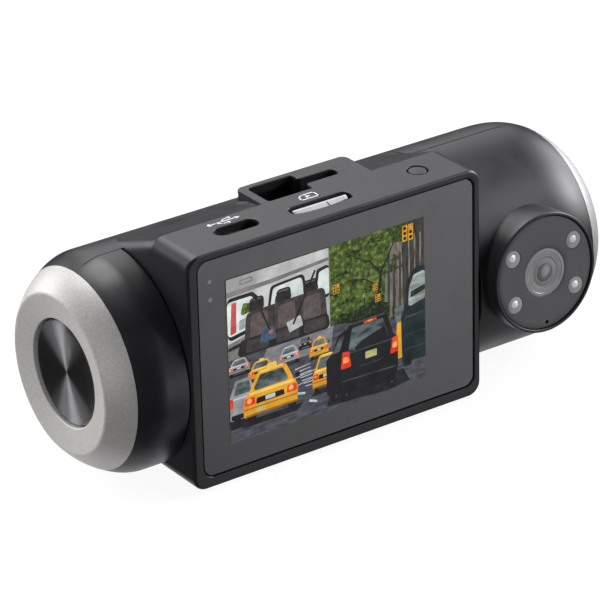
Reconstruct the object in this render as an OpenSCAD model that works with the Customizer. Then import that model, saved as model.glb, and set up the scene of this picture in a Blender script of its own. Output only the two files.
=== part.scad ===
// Two-camera dash camera: a screen block across the middle of a horizontal tube, a fixed
// barrel on the left and a cabin camera barrel on the right that turns about the tube's axis.
// +X is to the right as a passenger faces the screen, +Y points to the road, +Z is up.
// The sub-parts are drawn with X = 0 at the middle of the block, Y = 0 at the front rim
// and Z = 0 at the tube's axis; row_frame() then moves the origin to the bracket slot.

/* [Block] */
// Width of the screen block
block_w = 60.4; // [58:0.2:64]
// Top face above the tube's axis
block_top = 24.5; // [23.5:0.1:26]
// Bottom face below the tube's axis
block_bottom = 18.8; // [18:0.1:19.2]
// Depth of the flat top, from the front rim to where the back starts to fall away
block_flat = 10.6; // [10:0.1:12]
// Corner radius of the block, seen from the front
block_corner = 2.5; // [2:0.1:3]
// Rounding between the front rim and the sides
rim_round = 1.1; // [0.8:0.1:1.3]
// Wall thickness of every shell
wall = 1.6; // [1.4:0.1:1.8]

/* [Tube] */
// Radius of the tube and of both barrels
tube_r = 19.6; // [19.4:0.1:19.8]
// Gap between the block and each barrel
seam = 0.3; // [0.25:0.05:0.4]
// Length of the fixed left barrel, without its silver cap
left_len = 9.1; // [9:0.1:11]
// Length of the turning right barrel, without its silver cap
right_len = 26.2; // [26:0.1:28]
// Length of the curved shoulder at the outer end of each barrel
shoulder_len = 5.1; // [4.5:0.1:5.5]
// Radius where the black shoulder meets the silver cap
shoulder_r = 17.9; // [17.6:0.1:18.1]

/* [Silver end caps] */
// Length of the sloping silver band along the axis
cap_len = 4.4; // [4:0.1:5]
// Radius of the outer edge of the dished face
cap_face_r = 14.4; // [14:0.1:15]
// Depth of the dish, from that edge to the hole
cap_dish = 1.1; // [0.8:0.1:1.3]
// Radius of the round hole for the end disc
cap_hole_r = 9.65; // [9.4:0.05:9.9]
// Radial gap around the end disc
disc_gap = 0.3; // [0.25:0.05:0.4]
// Travel of the left end disc, which is a push button
end_travel = 0.5; // [0.4:0.1:0.5]

/* [Screen] */
// Width and height of the cover glass
glass_w = 56.8; // [56:0.2:57]
glass_h = 39.8; // [39:0.2:40]
// Corner radius of the cover glass
glass_corner = 2; // [1.6:0.1:2.4]
// Middle of the cover glass: right of the block's middle, and above the tube's axis
glass_x = 0.3; // [0:0.1:0.4]
glass_z = 3.3; // [3:0.1:3.5]
// Thickness of the cover glass, and how far it lies behind the front rim
glass_t = 1.2; // [1:0.1:1.2]
glass_recess = 0.2; // [0.1:0.05:0.2]
// Width and height of the picture, a 2.0 inch display
picture_w = 40.8; // [40:0.1:41]
picture_h = 30.6; // [30:0.1:31]
// Middle of the picture
picture_x = -2.2; // [-2.4:0.1:-2]
picture_z = 3.4; // [3.2:0.1:3.6]

/* [Top face] */
// USB opening: width, depth, and the place of its middle
usb_w = 8.5; // [8.4:0.1:9]
usb_d = 3.1; // [3:0.1:3.3]
usb_x = -16.3; // [-17:0.1:-15]
usb_y = 5.9; // [5.8:0.1:6]
// Memory card opening: width, depth, and the place of its middle
card_slot_w = 12.3; // [12:0.1:13]
card_slot_d = 3.2; // [3:0.1:3.4]
card_x = 0.3; // [0:0.1:0.6]
card_y = 5.1; // [5:0.1:5.2]
// How far the memory card pulls out
card_travel = 14.5; // [12:0.5:14.5]
// Round power button: radius, place and travel
power_r = 1.6; // [1.5:0.1:1.8]
power_x = 21.2; // [20:0.1:22]
power_y = 5.9; // [5.6:0.1:6]
power_travel = 0.4; // [0.3:0.1:0.4]

/* [Bracket slot] */
// Left edge, right edge and back edge of the raised bracket seat
seat_left = -7.8; // [-8:0.1:-7.6]
seat_right = 15.1; // [14.8:0.1:15.4]
seat_back = 18.9; // [18.6:0.1:19]
// Thickness of the seat's top plate, which holds the bracket's foot down
seat_t = 1.6; // [1.4:0.1:1.8]
// Thickness of that plate where it lies on top of the seat's back walls
seat_lip = 0.7; // [0.6:0.1:0.9]
// Wide opening for the bracket's foot: its left edge, its width and its depth
foot_left = -6.1; // [-6.2:0.1:-6]
foot_w = 9.05; // [8.8:0.05:9.2]
foot_d = 6.5; // [6.2:0.1:6.6]
// Narrow slot that the bracket's neck slides along: its length and depth
neck_len = 7.15; // [6.8:0.05:7.4]
neck_d = 2.25; // [2:0.05:2.5]
// Middle of both openings, behind the front rim
slot_y = 14.3; // [14.2:0.05:14.4]

/* [Cabin camera] */
// Middle of the round camera pod along the right barrel
pod_x = 42.8; // [42.6:0.1:44]
// Radius of the pod, and its front rim's distance from the tube's axis
pod_r = 11; // [10.5:0.1:11]
pod_reach = 22; // [21.8:0.1:22.4]
// Upward tilt of the cabin camera as stored
cabin_tilt = 4.6; // [0:0.1:10]
// Radius of the lens window and of each infrared window in the pod's face
lens_window_r = 4.4; // [4.2:0.1:4.6]
led_window_r = 1.65; // [1.5:0.05:1.8]
// Distances of the infrared windows from the lens, sideways and up
led_dx = 6.7; // [6.4:0.1:6.8]
led_dz = 4.3; // [4:0.1:4.6]
// How far the barrel turns down and up from its stored place, in degrees
turn_down = 65; // [40:1:65]
turn_up = 25; // [10:1:25]

/* [Pivot] */
// Radius of the hollow spigot that the right barrel turns on
spigot_r = 8; // [7.5:0.1:8.2]
// Radial clearance in the hub's bore
pivot_fit = 0.05; // [0.02:0.01:0.08]
// Bore of the spigot, which the camera ribbon passes through
spigot_bore = 5.5; // [5:0.1:5.8]

/* [Road camera] */
// Radius of the bore in the road side for the lens bezel
road_bore_r = 9; // [8.6:0.1:9.2]
// Reach of the bezel from the tube's axis
road_reach = 21.8; // [21.4:0.1:22]

/* [Hidden] */

$fn = 96;
eps = 0.01;
half_w = block_w / 2;
axis_y = tube_r;                       // the tube's front line lies in the front rim's plane
left_seam_x = -half_w - seam;          // inner end of the left barrel
left_ring_x = left_seam_x - left_len;  // where the left barrel's silver begins
right_seam_x = half_w + seam;
right_ring_x = right_seam_x + right_len;
slope_end_angle = 21;                  // the back slope runs into the tube this far past its top
foot_right = foot_left + foot_w;
neck_right = foot_right + neck_len;
channel_top = block_top - seat_t;
channel_bottom = block_top - 5;
origin_x = (foot_left + neck_right) / 2;
boss_x = 24;                           // housing screws, left and right of the middle
boss_z = 12;
boss_r = 2.4;
pilot_r = 0.95;
screw_r = 0.9;
head_r = 2;
head_seat_y = 20;
board_y = 7.6;                         // front face of the main board
board_t = 1.2;
ledge_y = glass_recess + glass_t;      // the cover glass rests on this ledge
ledge_t = 1.2;
display_y = ledge_y + 0.05;
display_t = 2;
stop_r = 13;                           // circle that the pivot's stop peg runs on
peg_r = 1.2;
peg_angle = 90;
hub_x = right_seam_x + 0.2;            // inner face of the turning hub
hub_t = 2;
sleeve_end = hub_x + 5;
spigot_end = sleeve_end + 2.8;
retainer_x = sleeve_end + 0.6;
retainer_t = 1;
face_seat = pod_reach - 1.3;           // ledge that the pod's face disc rests on
sensor_z = 14.5;                       // cabin sensor board's distance from the tube's axis
cap_edge = cap_len - cap_dish;         // the end disc's hole, past the silver's inner edge
disc_recess = 0.6;
disc_t = 2;
switch_x = left_ring_x + 0.5;          // outer face of the end switch
seat_wall = 0.8;

BLACK = "#2b2b2e";
GLOSS = "#1c1c1f";
SILVER = "#b5b1ab";
STEEL = "#a8aaad";
BOARD_GREEN = "#1f5a3a";

// Points on a circle about (cy, cz), from angle a to angle b, measured from +Z towards +Y
function arc(cy, cz, r, a, b, n) =
    [for (i = [0 : n]) let (t = a + (b - a) * i / n) [cy + r * sin(t), cz + r * cos(t)]];

// Side outline of the screen block and its back slope, in (Y, Z). It ends inside the tube.
function block_outline() = concat(
    arc(rim_round, rim_round - block_bottom, rim_round, 180, 270, 4),
    arc(rim_round, block_top - rim_round, rim_round, 270, 360, 4),
    [[block_flat, block_top],
     [axis_y + (tube_r - 0.05) * sin(slope_end_angle), (tube_r - 0.05) * cos(slope_end_angle)],
     [axis_y, 0],
     [axis_y - 4, -block_bottom]]);

// Half section of a barrel with its shoulder, as [radius, distance from the seam]
shoulder_drop = tube_r - shoulder_r;
shoulder_bend = (pow(shoulder_len, 2) + pow(shoulder_drop, 2)) / (2 * shoulder_drop);
shoulder_angle = asin(shoulder_len / shoulder_bend);
function barrel_edge(len, off) = concat([[tube_r - off, 0]],
    [for (i = [0 : 8]) let (t = shoulder_angle * i / 8)
        [tube_r - shoulder_bend + (shoulder_bend - off) * cos(t),
         len - shoulder_len + (shoulder_bend - off) * sin(t)]]);

module row_frame() { translate([-origin_x, -slot_y, -block_top]) children(); }
module along_x(x0) { translate([x0, 0, 0]) rotate([90, 0, 90]) children(); }
module on_axis(x0) { translate([x0, axis_y, 0]) rotate([90, 0, 90]) children(); }
module on_axis_left(x0) { translate([x0, axis_y, 0]) rotate([90, 0, -90]) children(); }
module x_rod(x0, x1, r) { on_axis(x0) cylinder(r = r, h = x1 - x0); }
// Local Y becomes up, and local Z the distance from the tube's axis
module toward_cabin(x) { translate([x, axis_y, 0]) rotate([90, 0, 0]) children(); }
module toward_road(x) { translate([x, axis_y, 0]) rotate([-90, 0, 0]) children(); }
module y_rod(x, z, y0, y1, r) {
    translate([x, y0, z]) rotate([-90, 0, 0]) cylinder(r = r, h = y1 - y0);
}
module block_box(x0, x1, y0, y1, z0, z1) {
    translate([x0, y0, z0]) cube([x1 - x0, y1 - y0, z1 - z0]);
}
module rounded(w, h, r) {
    offset(r = r, $fn = 32) square([w - 2 * r, h - 2 * r], center = true);
}
module stadium(w, d) {
    for (s = [-1, 1]) translate([s * (w - d) / 2, 0]) circle(d = d, $fn = 48);
    square([w - d, d], center = true);
}
module stadium_hole(x, y, w, d, z0, z1) {
    for (s = [-1, 1]) translate([x + s * (w - d) / 2, y, z0])
        cylinder(d = d, h = z1 - z0, $fn = 48);
    block_box(x - (w - d) / 2, x + (w - d) / 2, y - d / 2, y + d / 2, z0, z1);
}
module front_plate(x, z, w, h, r, y0, y1) {
    translate([x, y1, z]) rotate([90, 0, 0]) linear_extrude(y1 - y0) rounded(w, h, r);
}
module tilted() {
    translate([0, axis_y, 0]) rotate([-cabin_tilt, 0, 0]) translate([0, -axis_y, 0]) children();
}

// ---- Shared solids of the housing ----
module rounded_block() {
    mid_z = (block_top - block_bottom) / 2;
    slope = atan2(block_top - (tube_r - 0.05) * cos(slope_end_angle),
                  axis_y + (tube_r - 0.05) * sin(slope_end_angle) - block_flat);
    intersection() {
        along_x(-half_w) linear_extrude(block_w) polygon(block_outline());
        front_plate(0, mid_z, block_w, block_top + block_bottom, block_corner, -1, 3 * tube_r);
        translate([0, 2 * tube_r, -2 * tube_r]) linear_extrude(4 * tube_r)
            rounded(block_w, 4 * tube_r, rim_round);
        // the back slope's side edges roll off with the block's corner radius
        union() {
            block_box(-half_w - 1, half_w + 1, -1, block_flat, -2 * tube_r, 2 * tube_r);
            translate([0, block_flat, block_top]) rotate([-slope, 0, 0])
                translate([0, 3 * tube_r - 0.5, 0.04 - 2 * tube_r]) rotate([90, 0, 0])
                    linear_extrude(3 * tube_r) rounded(block_w + 0.06, 4 * tube_r, block_corner);
        }
    }
}
// The fixed tube: it runs on through the left barrel to its silver cap
tube_len = half_w - left_ring_x;
module tube_solid() {
    on_axis_left(half_w) rotate_extrude()
        polygon(concat([[0, 0]], barrel_edge(tube_len, 0), [[0, tube_len]]));
}
module tube_cavity() {
    inner = tube_r - wall;
    on_axis_left(half_w - wall) rotate_extrude() polygon([[0, 0], [inner, 0],
        [inner, tube_len - wall - shoulder_len], [shoulder_r - wall, tube_len - wall],
        [shoulder_r - wall, tube_len], [0, tube_len]]);
}
module block_cavity() {
    intersection() {
        along_x(-half_w + wall) linear_extrude(block_w - 2 * wall)
            offset(delta = -wall) polygon(block_outline());
        block_box(-half_w, half_w, ledge_y + ledge_t, 3 * tube_r, -2 * tube_r, 2 * tube_r);
    }
}
// Everything behind the plane y, from x0 to the right end
module region(x0, y) {
    block_box(x0, 4 * tube_r, y, 4 * tube_r, -2 * tube_r, 2 * tube_r);
}
module behind(y) {
    block_box(-3 * tube_r, 4 * tube_r, y, 4 * tube_r, -2 * tube_r, 2 * tube_r);
}
module ahead_of(y) {
    block_box(-3 * tube_r, 4 * tube_r, -tube_r, y, -2 * tube_r, 2 * tube_r);
}
module left_barrel_solid() {
    on_axis_left(left_seam_x) rotate_extrude()
        polygon(concat([[0, 0]], barrel_edge(left_len, 0), [[0, left_len]]));
}
module left_barrel_shell() {
    difference() {
        left_barrel_solid();
        on_axis_left(left_seam_x - left_len + 1) cylinder(r = shoulder_r - wall, h = 2);
        on_axis_left(left_seam_x + 1) cylinder(r = tube_r - wall, h = left_len - shoulder_len + 1);
        on_axis_left(left_seam_x - left_len + shoulder_len)
            cylinder(r1 = tube_r - wall, r2 = shoulder_r - wall, h = shoulder_len);
    }
}
// Raised seat for the windscreen bracket, as an outline from above
module seat_outline(inset, y0) {
    x0 = seat_left + inset;
    x1 = seat_right - inset;
    y1 = seat_back - inset;
    r = 1.4 - inset;
    for (x = [x0 + r, x1 - r]) translate([x, y1 - r]) circle(r = r, $fn = 32);
    translate([x0, y0]) square([x1 - x0, y1 - r - y0]);
    translate([x0 + r, y0]) square([x1 - x0 - 2 * r, y1 - y0]);
}
module round_cornered_box(x0, x1, y0, y1, z0, z1, r) {
    for (x = [x0 + r, x1 - r], y = [y0 + r, y1 - r]) translate([x, y, z0])
        cylinder(r = r, h = z1 - z0, $fn = 32);
    block_box(x0 + r, x1 - r, y0, y1, z0, z1);
    block_box(x0, x1, y0 + r, y1 - r, z0, z1);
}
module slot_opening(z0, z1) {
    round_cornered_box(foot_left, foot_right, slot_y - foot_d / 2, slot_y + foot_d / 2, z0, z1, 0.5);
    round_cornered_box(foot_left + 2, neck_right, slot_y - neck_d / 2, slot_y + neck_d / 2, z0, z1, 0.7);
}
// Space of the bracket seat that the road shell leaves to the screen shell
module seat_room() {
    translate([0, 0, block_top - 12]) linear_extrude(15) seat_outline(seat_wall, block_flat - 1);
    translate([0, 0, block_top - seat_lip]) linear_extrude(5) seat_outline(0, block_flat - 1);
    block_box(seat_left - 0.05, seat_right + 0.05, block_flat - 1, slot_y + 0.05, block_top - 5,
        block_top + 1);
}
module screw_places() {
    for (x = [-boss_x, boss_x], z = [-boss_z, boss_z]) translate([x, 0, z]) children();
}

// ---- Housing ----
module screen_housing() {
    color(BLACK) difference() {
        union() {
            difference() {
                intersection() { rounded_block(); ahead_of(block_flat); }
                block_cavity();
            }
            // top plate and front part of the bracket seat
            translate([0, 0, block_top - seat_lip]) linear_extrude(seat_lip)
                seat_outline(0, block_flat - 1);
            translate([0, 0, channel_top]) linear_extrude(seat_t)
                seat_outline(seat_wall + 0.05, block_flat - 1);
            difference() {
                block_box(seat_left, seat_right, block_flat - eps, slot_y, block_top - 3.6,
                    block_top - 0.1);
                block_box(seat_left + seat_wall, seat_right - seat_wall, block_flat - 1, slot_y + 1,
                    block_top - 4, block_top - 0.2);
            }
            // screw bosses, tied to the side wall on the left and to top and bottom on the right
            for (x = [-boss_x, boss_x], z = [-boss_z, boss_z]) y_rod(x, z, 4.2, block_flat, boss_r);
            for (z = [-boss_z, boss_z])
                block_box(-half_w + 1, -boss_x, 4.2, block_flat, z - 0.8, z + 0.8);
            block_box(boss_x + 1, boss_x + 2.2, 4.2, block_flat, boss_z, block_top - 1);
            block_box(boss_x + 1, boss_x + 2.2, 4.2, block_flat, 1 - block_bottom, -boss_z);
        }
        front_plate(glass_x, glass_z, glass_w + 0.4, glass_h + 0.4, glass_corner + 0.2,
            -1, ledge_y);
        front_plate(glass_x, glass_z, glass_w - 3.6, glass_h - 3.6, 1, 0, ledge_y + ledge_t + 1);
        stadium_hole(usb_x, usb_y, usb_w, usb_d, block_top - 3, block_top + 1);
        stadium_hole(card_x, card_y, card_slot_w, card_slot_d, block_top - 3, block_top + 1);
        translate([power_x, power_y, block_top - 3]) cylinder(r = power_r + 0.3, h = 4);
        slot_opening(channel_top - 1, block_top + 1);
        screw_places() y_rod(0, 0, 5, block_flat + 1, pilot_r);
        x_rod(half_w - wall - 1, half_w + 1, 15.2);
    }
}
module road_housing() {
    color(BLACK) difference() {
        union() {
            difference() {
                union() {
                    intersection() { rounded_block(); behind(block_flat); }
                    intersection() {
                        tube_solid();
                        union() { region(-half_w, block_flat); region(-4 * tube_r, axis_y); }
                    }
                }
                block_cavity();
                intersection() {
                    tube_cavity();
                    union() { region(wall - half_w, 0); region(-4 * tube_r, axis_y); }
                }
                seat_room();
            }
            // back part of the bracket seat's walls
            difference() {
                translate([0, 0, block_top - 6]) linear_extrude(6 - seat_lip)
                    seat_outline(0, slot_y + 0.05);
                translate([0, 0, block_top - 7]) linear_extrude(8)
                    seat_outline(seat_wall, slot_y - 1);
            }
            // round boss of the road lens
            difference() {
                toward_road(0) translate([0, 0, tube_r - 3]) cylinder(r = 11, h = 4.2);
                x_rod(-12, 12, tube_r - wall);
            }
            intersection() {
                screw_places() y_rod(0, 0, block_flat, 3 * tube_r, boss_r + 0.4);
                x_rod(-half_w, half_w, tube_r - 0.4);
            }
        }
        toward_road(0) cylinder(r = road_bore_r, h = 3 * tube_r);
        screw_places() {
            y_rod(0, 0, block_flat - 1, head_seat_y + 1, screw_r + 0.15);
            y_rod(0, 0, head_seat_y, 3 * tube_r, head_r + 0.2);
        }
        x_rod(half_w - wall - 1, half_w + 1, 15.2);
        for (i = [0 : 6]) let (r = i == 0 ? 0 : 2.2)
            translate([13.5 + r * cos(60 * i), axis_y + r * sin(60 * i), -tube_r - 1])
                cylinder(r = 0.5, h = 4, $fn = 24);
    }
}
module left_barrel_cover() {
    color(BLACK) intersection() { left_barrel_shell(); ahead_of(axis_y - 0.05); }
}

// ---- End caps ----
function cap_profile() = [
    [shoulder_r, 0], [cap_face_r + 0.5, cap_len - 0.62], [cap_face_r + 0.1, cap_len - 0.12],
    [cap_face_r - 0.5, cap_len], [cap_hole_r, cap_edge], [cap_hole_r, cap_edge - 1.2],
    [cap_face_r - 1.4, cap_len - 2], [shoulder_r - wall - 1.4, -2], [shoulder_r - wall - 0.1, -2],
    [shoulder_r - wall - 0.1, 0]];
module cap_ring() { rotate_extrude() polygon(cap_profile()); }
module cap_disc() {
    face = cap_edge - disc_recess;
    r = cap_hole_r - disc_gap;
    translate([0, 0, face - 1.4]) cylinder(r = r, h = 1.4);
    translate([0, 0, face - disc_t - 0.1]) cylinder(r = r + 1.1, h = 0.8);
}
module left_cap_ring() { color(SILVER) on_axis_left(left_ring_x) cap_ring(); }
module end_button() { color(BLACK) on_axis_left(left_ring_x) cap_disc(); }
module end_switch() {
    color(STEEL) {
        block_box(switch_x, switch_x + 1.2, axis_y - 3, axis_y + 3, -3, 3);
        x_rod(switch_x - 0.3, switch_x + eps, 1.7);
    }
}
module end_switch_board() { color(BOARD_GREEN) x_rod(switch_x + 1.2, switch_x + 2.2, 9); }

// ---- Screen ----
module screen_glass() {
    color(GLOSS)
        front_plate(glass_x, glass_z, glass_w, glass_h, glass_corner, glass_recess, ledge_y);
}
display_x0 = picture_x - picture_w / 2 - 1.8;
display_x1 = picture_x + picture_w / 2 + 2;
display_z0 = picture_z - picture_h / 2 - 1.7;
display_z1 = picture_z + picture_h / 2 + 1.7;
module display_panel() {
    color("#39404a")
        block_box(display_x0, display_x1, display_y, display_y + display_t, display_z0, display_z1);
}
module display_frame() {
    color(STEEL) difference() {
        block_box(display_x0 - 0.5, display_x1 + 0.5, ledge_y + ledge_t + 0.05, display_y + display_t + 0.5,
            display_z0 - 0.5, display_z1 + 0.5);
        block_box(display_x0 - 0.05, display_x1 + 0.05, 0, display_y + display_t + 0.02,
            display_z0 - 0.05, display_z1 + 0.05);
    }
}
module status_light_guides() {
    color("#e4e6e8") for (z = [16, 19.3]) y_rod(-25.7, z, ledge_y + 0.05, board_y - 0.4, 0.5, $fn = 24);
}

// ---- Electronics ----
module main_board() {
    color(BOARD_GREEN) difference() {
        block_box(-27.5, boss_x + 2.8, board_y, board_y + board_t, -16.2, 22.3);
        screw_places() y_rod(0, 0, board_y - 1, board_y + 3, boss_r + 0.3);
        // notches around the ribs of the screw bosses
        for (z = [-boss_z, boss_z])
            block_box(-half_w, -boss_x, board_y - 1, board_y + 3, z - 1.1, z + 1.1);
        for (z = [boss_z, -half_w])
            block_box(boss_x + 0.7, half_w, board_y - 1, board_y + 3, z, z + half_w - boss_z);
        // notch below the power button's collar
        block_box(power_x - 2.6, half_w, board_y - 1, board_y + 3, channel_top - 1.8, channel_top);
    }
}
module processor() {
    color(GLOSS) block_box(-2, 11, board_y + board_t, board_y + board_t + 1.2, -4, 9);
}
module heat_spreader() {
    color(STEEL) difference() {
        block_box(-11, 14, board_y + board_t + 1.25, board_y + board_t + 3.4, -11, 15);
        for (i = [0 : 5]) block_box(-12, 15, board_y + board_t + 2.2, 20, -9.2 + i * 4, -7.2 + i * 4);
    }
}
module usb_socket() {
    color(STEEL) difference() {
        stadium_hole(usb_x, usb_y, 8.9, 3.2, 15.6, channel_top - 0.05);
        stadium_hole(usb_x, usb_y, 8.34, 2.6, 16.2, channel_top + 1);
    }
}
module usb_tongue() {
    color(GLOSS) block_box(usb_x - 3.3, usb_x + 3.3, usb_y - 0.35, usb_y + 0.35, 16.2, channel_top - 0.9);
}
module card_socket() {
    color(STEEL) difference() {
        block_box(card_x - 7.4, card_x + 7.4, card_y - 0.95, board_y, 8.6, channel_top - 0.3);
        block_box(card_x - 5.85, card_x + 5.85, card_y - 0.7, card_y + 0.7, 9.1, channel_top + 1);
    }
}
module memory_card() {
    color("#c9cbcd") {
        block_box(card_x - 5.5, card_x + 5.5, card_y - 0.35, card_y + 0.35, 9.4, block_top - 0.4);
        // raised finger grip along the outer edge
        translate([card_x, card_y, block_top - 1.4]) linear_extrude(1) intersection() {
            square([10.9, 1.36], center = true);
            translate([0, 20]) circle(r = 20.7, $fn = 180);
            translate([0, -20]) circle(r = 20.7, $fn = 180);
        }
    }
}
module power_button() {
    color(BLACK) translate([power_x, power_y, 0]) {
        translate([0, 0, block_top - 2]) cylinder(r = power_r, h = 1.95);
        translate([0, 0, channel_top - 1]) cylinder(r = power_r + 0.6, h = 0.7);
        translate([0, 0, channel_top - 2]) cylinder(r = 0.9, h = 1.1);
    }
}
module power_switch() {
    color(STEEL) block_box(power_x - 1.8, power_x + 1.8, power_y - 1.6, board_y,
        channel_top - 4.8, channel_top - 2.7);
}
module backup_battery() { color("#3f6fae") translate([0, 0.4, -11.4]) x_rod(-20, 5.8, 5); }
module speaker() {
    color(GLOSS) translate([13.5, axis_y, -15.4]) {
        cylinder(r = 7, h = 2.4);
        cylinder(r = 4, h = 3.8);
    }
}
module gps_antenna() { color("#c8b394") block_box(-20, -8, 14, 26, 12.9, 16.4); }
module slot_rail() {
    color(STEEL) difference() {
        block_box(foot_left - 0.6, neck_right + 1.6, slot_y - foot_d / 2 - 0.4,
            slot_y + foot_d / 2 + 0.4, channel_bottom - 0.6, channel_top - 0.02);
        block_box(foot_left, neck_right + 1, slot_y - foot_d / 2, slot_y + foot_d / 2,
            channel_bottom, channel_top + 1);
    }
}
// Leaf spring whose bump holds the bracket's foot under the narrow slot
module slot_spring() {
    color(STEEL) translate([0, slot_y + 1.5, channel_bottom]) rotate([90, 0, 0]) linear_extrude(3)
        polygon([[foot_left + 0.3, 0], [neck_right - 0.2, 0], [neck_right - 1.2, 0.35],
                 [neck_right - 3, 1.1], [neck_right - 4.8, 0.35], [foot_left + 0.3, 0.3]]);
}

// ---- Road camera ----
module road_lens_bezel() {
    color(GLOSS) toward_road(0) rotate_extrude() polygon([
        [6.05, 15.8], [road_bore_r - 0.05, 15.8], [road_bore_r - 0.05, road_reach - 1],
        [road_bore_r - 0.7, road_reach], [road_bore_r - 1.4, road_reach], [6.05, road_reach - 1.8]]);
}
module road_lens_barrel() {
    color(BLACK) toward_road(0) rotate_extrude()
        polygon([[0, 9], [6, 9], [6, 19.4], [5.2, 19.4], [5.2, 18.2], [2.6, 16.4], [0, 16.4]]);
}
module road_lens_glass() {
    color("#2a2f48") toward_road(0) rotate_extrude() polygon(concat([[0, 18.3]], [[5.1, 18.3]],
        [for (i = [0 : 10]) let (r = 5.1 * (1 - i / 10)) [r, 19 + 0.9 * (1 - pow(r / 5.1, 2))]]));
}
module road_sensor_board() {
    color(BOARD_GREEN) toward_road(0) translate([-9, -9, 7.9]) cube([18, 18, 1]);
}

// ---- Pivot, fixed side ----
module pivot_flange() {
    color(STEEL) difference() {
        union() {
            x_rod(half_w - wall - 1.4, half_w - wall, 16.4);
            x_rod(half_w - wall - eps, half_w, 14.9);
            x_rod(half_w - eps, spigot_end, spigot_r);
            on_axis(half_w - eps) rotate(peg_angle) translate([stop_r, 0, 0])
                cylinder(r = peg_r, h = hub_x + hub_t - half_w, $fn = 32);
        }
        x_rod(half_w - 10, spigot_end + 1, spigot_bore);
        difference() {
            x_rod(retainer_x - 0.1, retainer_x + retainer_t + 0.1, spigot_r + 1);
            x_rod(retainer_x - 1, retainer_x + retainer_t + 1, spigot_r - 1);
        }
    }
}
module pivot_retainer() {
    color(STEEL) difference() {
        x_rod(retainer_x, retainer_x + retainer_t, 10.4);
        x_rod(retainer_x - 1, retainer_x + retainer_t + 1, spigot_r - 0.95);
    }
}
module friction_washer() {
    color("#8d7a3c") difference() {
        x_rod(sleeve_end + 0.3, retainer_x - 0.02, 10);
        x_rod(sleeve_end - 1, retainer_x + 1, spigot_r + 0.1);
    }
}
module camera_ribbon() {
    color("#a8692c") {
        block_box(19, 19.25, board_y + board_t, axis_y + 0.1, -3, 3);
        block_box(19.2, spigot_end + 1, axis_y - 0.15, axis_y + 0.1, -3, 3);
    }
}
module housing_screws() {
    color(STEEL) screw_places() {
        y_rod(0, 0, 5.5, head_seat_y, screw_r, $fn = 32);
        difference() {
            y_rod(0, 0, head_seat_y, head_seat_y + 1.5, head_r, $fn = 32);
            for (a = [0, 90]) translate([0, head_seat_y + 1.6, 0]) rotate([0, a, 0])
                cube([2.6, 1.6, 0.6], center = true);
        }
    }
}

// ---- Turning barrel ----
module cabin_shell() {
    difference() {
        on_axis(right_seam_x) rotate_extrude()
            polygon(concat([[0, 0]], barrel_edge(right_len, 0), [[0, right_len]]));
        on_axis(right_seam_x - 1) cylinder(r = tube_r - wall, h = right_len - shoulder_len + 1);
        on_axis(right_ring_x - shoulder_len - eps)
            cylinder(r1 = tube_r - wall, r2 = shoulder_r - wall, h = shoulder_len + 2 * eps);
    }
}
module cabin_barrel_front() {
    color(BLACK) tilted() difference() {
        union() {
            intersection() { cabin_shell(); ahead_of(axis_y - 0.05); }
            difference() {
                toward_cabin(pod_x) translate([0, 0, tube_r - 9])
                    cylinder(r = pod_r, h = pod_reach - tube_r + 9);
                x_rod(right_seam_x, right_ring_x, tube_r - wall);
            }
        }
        toward_cabin(pod_x) cylinder(r = pod_r - 1.4, h = 2 * tube_r);
        toward_cabin(pod_x) translate([0, 0, face_seat]) cylinder(r = pod_r - 0.6, h = tube_r);
    }
}
module cabin_barrel_rear() {
    color(BLACK) tilted() intersection() { cabin_shell(); behind(axis_y + 0.05); }
}
module cabin_hub() {
    color(GLOSS) tilted() difference() {
        union() {
            x_rod(hub_x, hub_x + hub_t, tube_r - wall - 0.05);
            x_rod(hub_x + hub_t - eps, sleeve_end, 10);
        }
        x_rod(hub_x - 1, sleeve_end + 1, spigot_r + pivot_fit);
        // slot that the stop peg runs in
        on_axis(hub_x - 1) rotate(peg_angle + cabin_tilt - turn_down - 7)
            rotate_extrude(angle = turn_down + turn_up + 14)
                translate([stop_r - peg_r - 0.3, 0]) square([2 * peg_r + 0.6, hub_t + 2]);
    }
}
module right_cap_ring() { color(SILVER) tilted() on_axis(right_ring_x) cap_ring(); }
module right_cap_disc() { color(BLACK) tilted() on_axis(right_ring_x) cap_disc(); }
module led_places() {
    for (sx = [-1, 1], sz = [-1, 1]) translate([sx * led_dx, sz * led_dz, 0]) children();
}
module pod_face() {
    color(GLOSS) tilted() toward_cabin(pod_x) translate([0, 0, face_seat]) difference() {
        cylinder(r = pod_r - 0.65, h = 1.1);
        translate([0, 0, -1]) cylinder(r = lens_window_r, h = 3);
        led_places() translate([0, 0, -1]) cylinder(r = led_window_r, h = 3);
        translate([0, -9.3, -1]) cylinder(r = 0.4, h = 3, $fn = 24);
    }
}
module cabin_lens_barrel() {
    color(BLACK) tilted() toward_cabin(pod_x) rotate_extrude() polygon([[0, sensor_z + 1],
        [3.9, sensor_z + 1], [3.9, 19], [4.3, 19.4], [4.3, face_seat + 0.4], [3.7, face_seat + 0.4],
        [3.2, face_seat - 0.6], [1.6, 18.6], [0, 18.6]]);
}
module cabin_lens_glass() {
    color("#39405a") tilted() toward_cabin(pod_x) rotate_extrude() polygon(concat([[0, 19.4]],
        [for (i = [0 : 8]) let (r = 2.1 * (1 - i / 8)) [r, 19.45 + 0.6 * (1 - pow(r / 2.1, 2))]]));
}
module infrared_leds() {
    color("#e2e2e6") tilted() toward_cabin(pod_x) led_places() {
        translate([0, 0, sensor_z + 1]) cylinder(r = 1.5, h = face_seat - sensor_z - 1.2, $fn = 48);
        translate([0, 0, face_seat - 0.2]) cylinder(r1 = 1.5, r2 = 0.7, h = 0.7, $fn = 48);
    }
}
module cabin_sensor_board() {
    color(BOARD_GREEN) tilted() toward_cabin(pod_x) translate([0, 0, sensor_z])
        cylinder(r = 9.3, h = 1);
}
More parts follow.
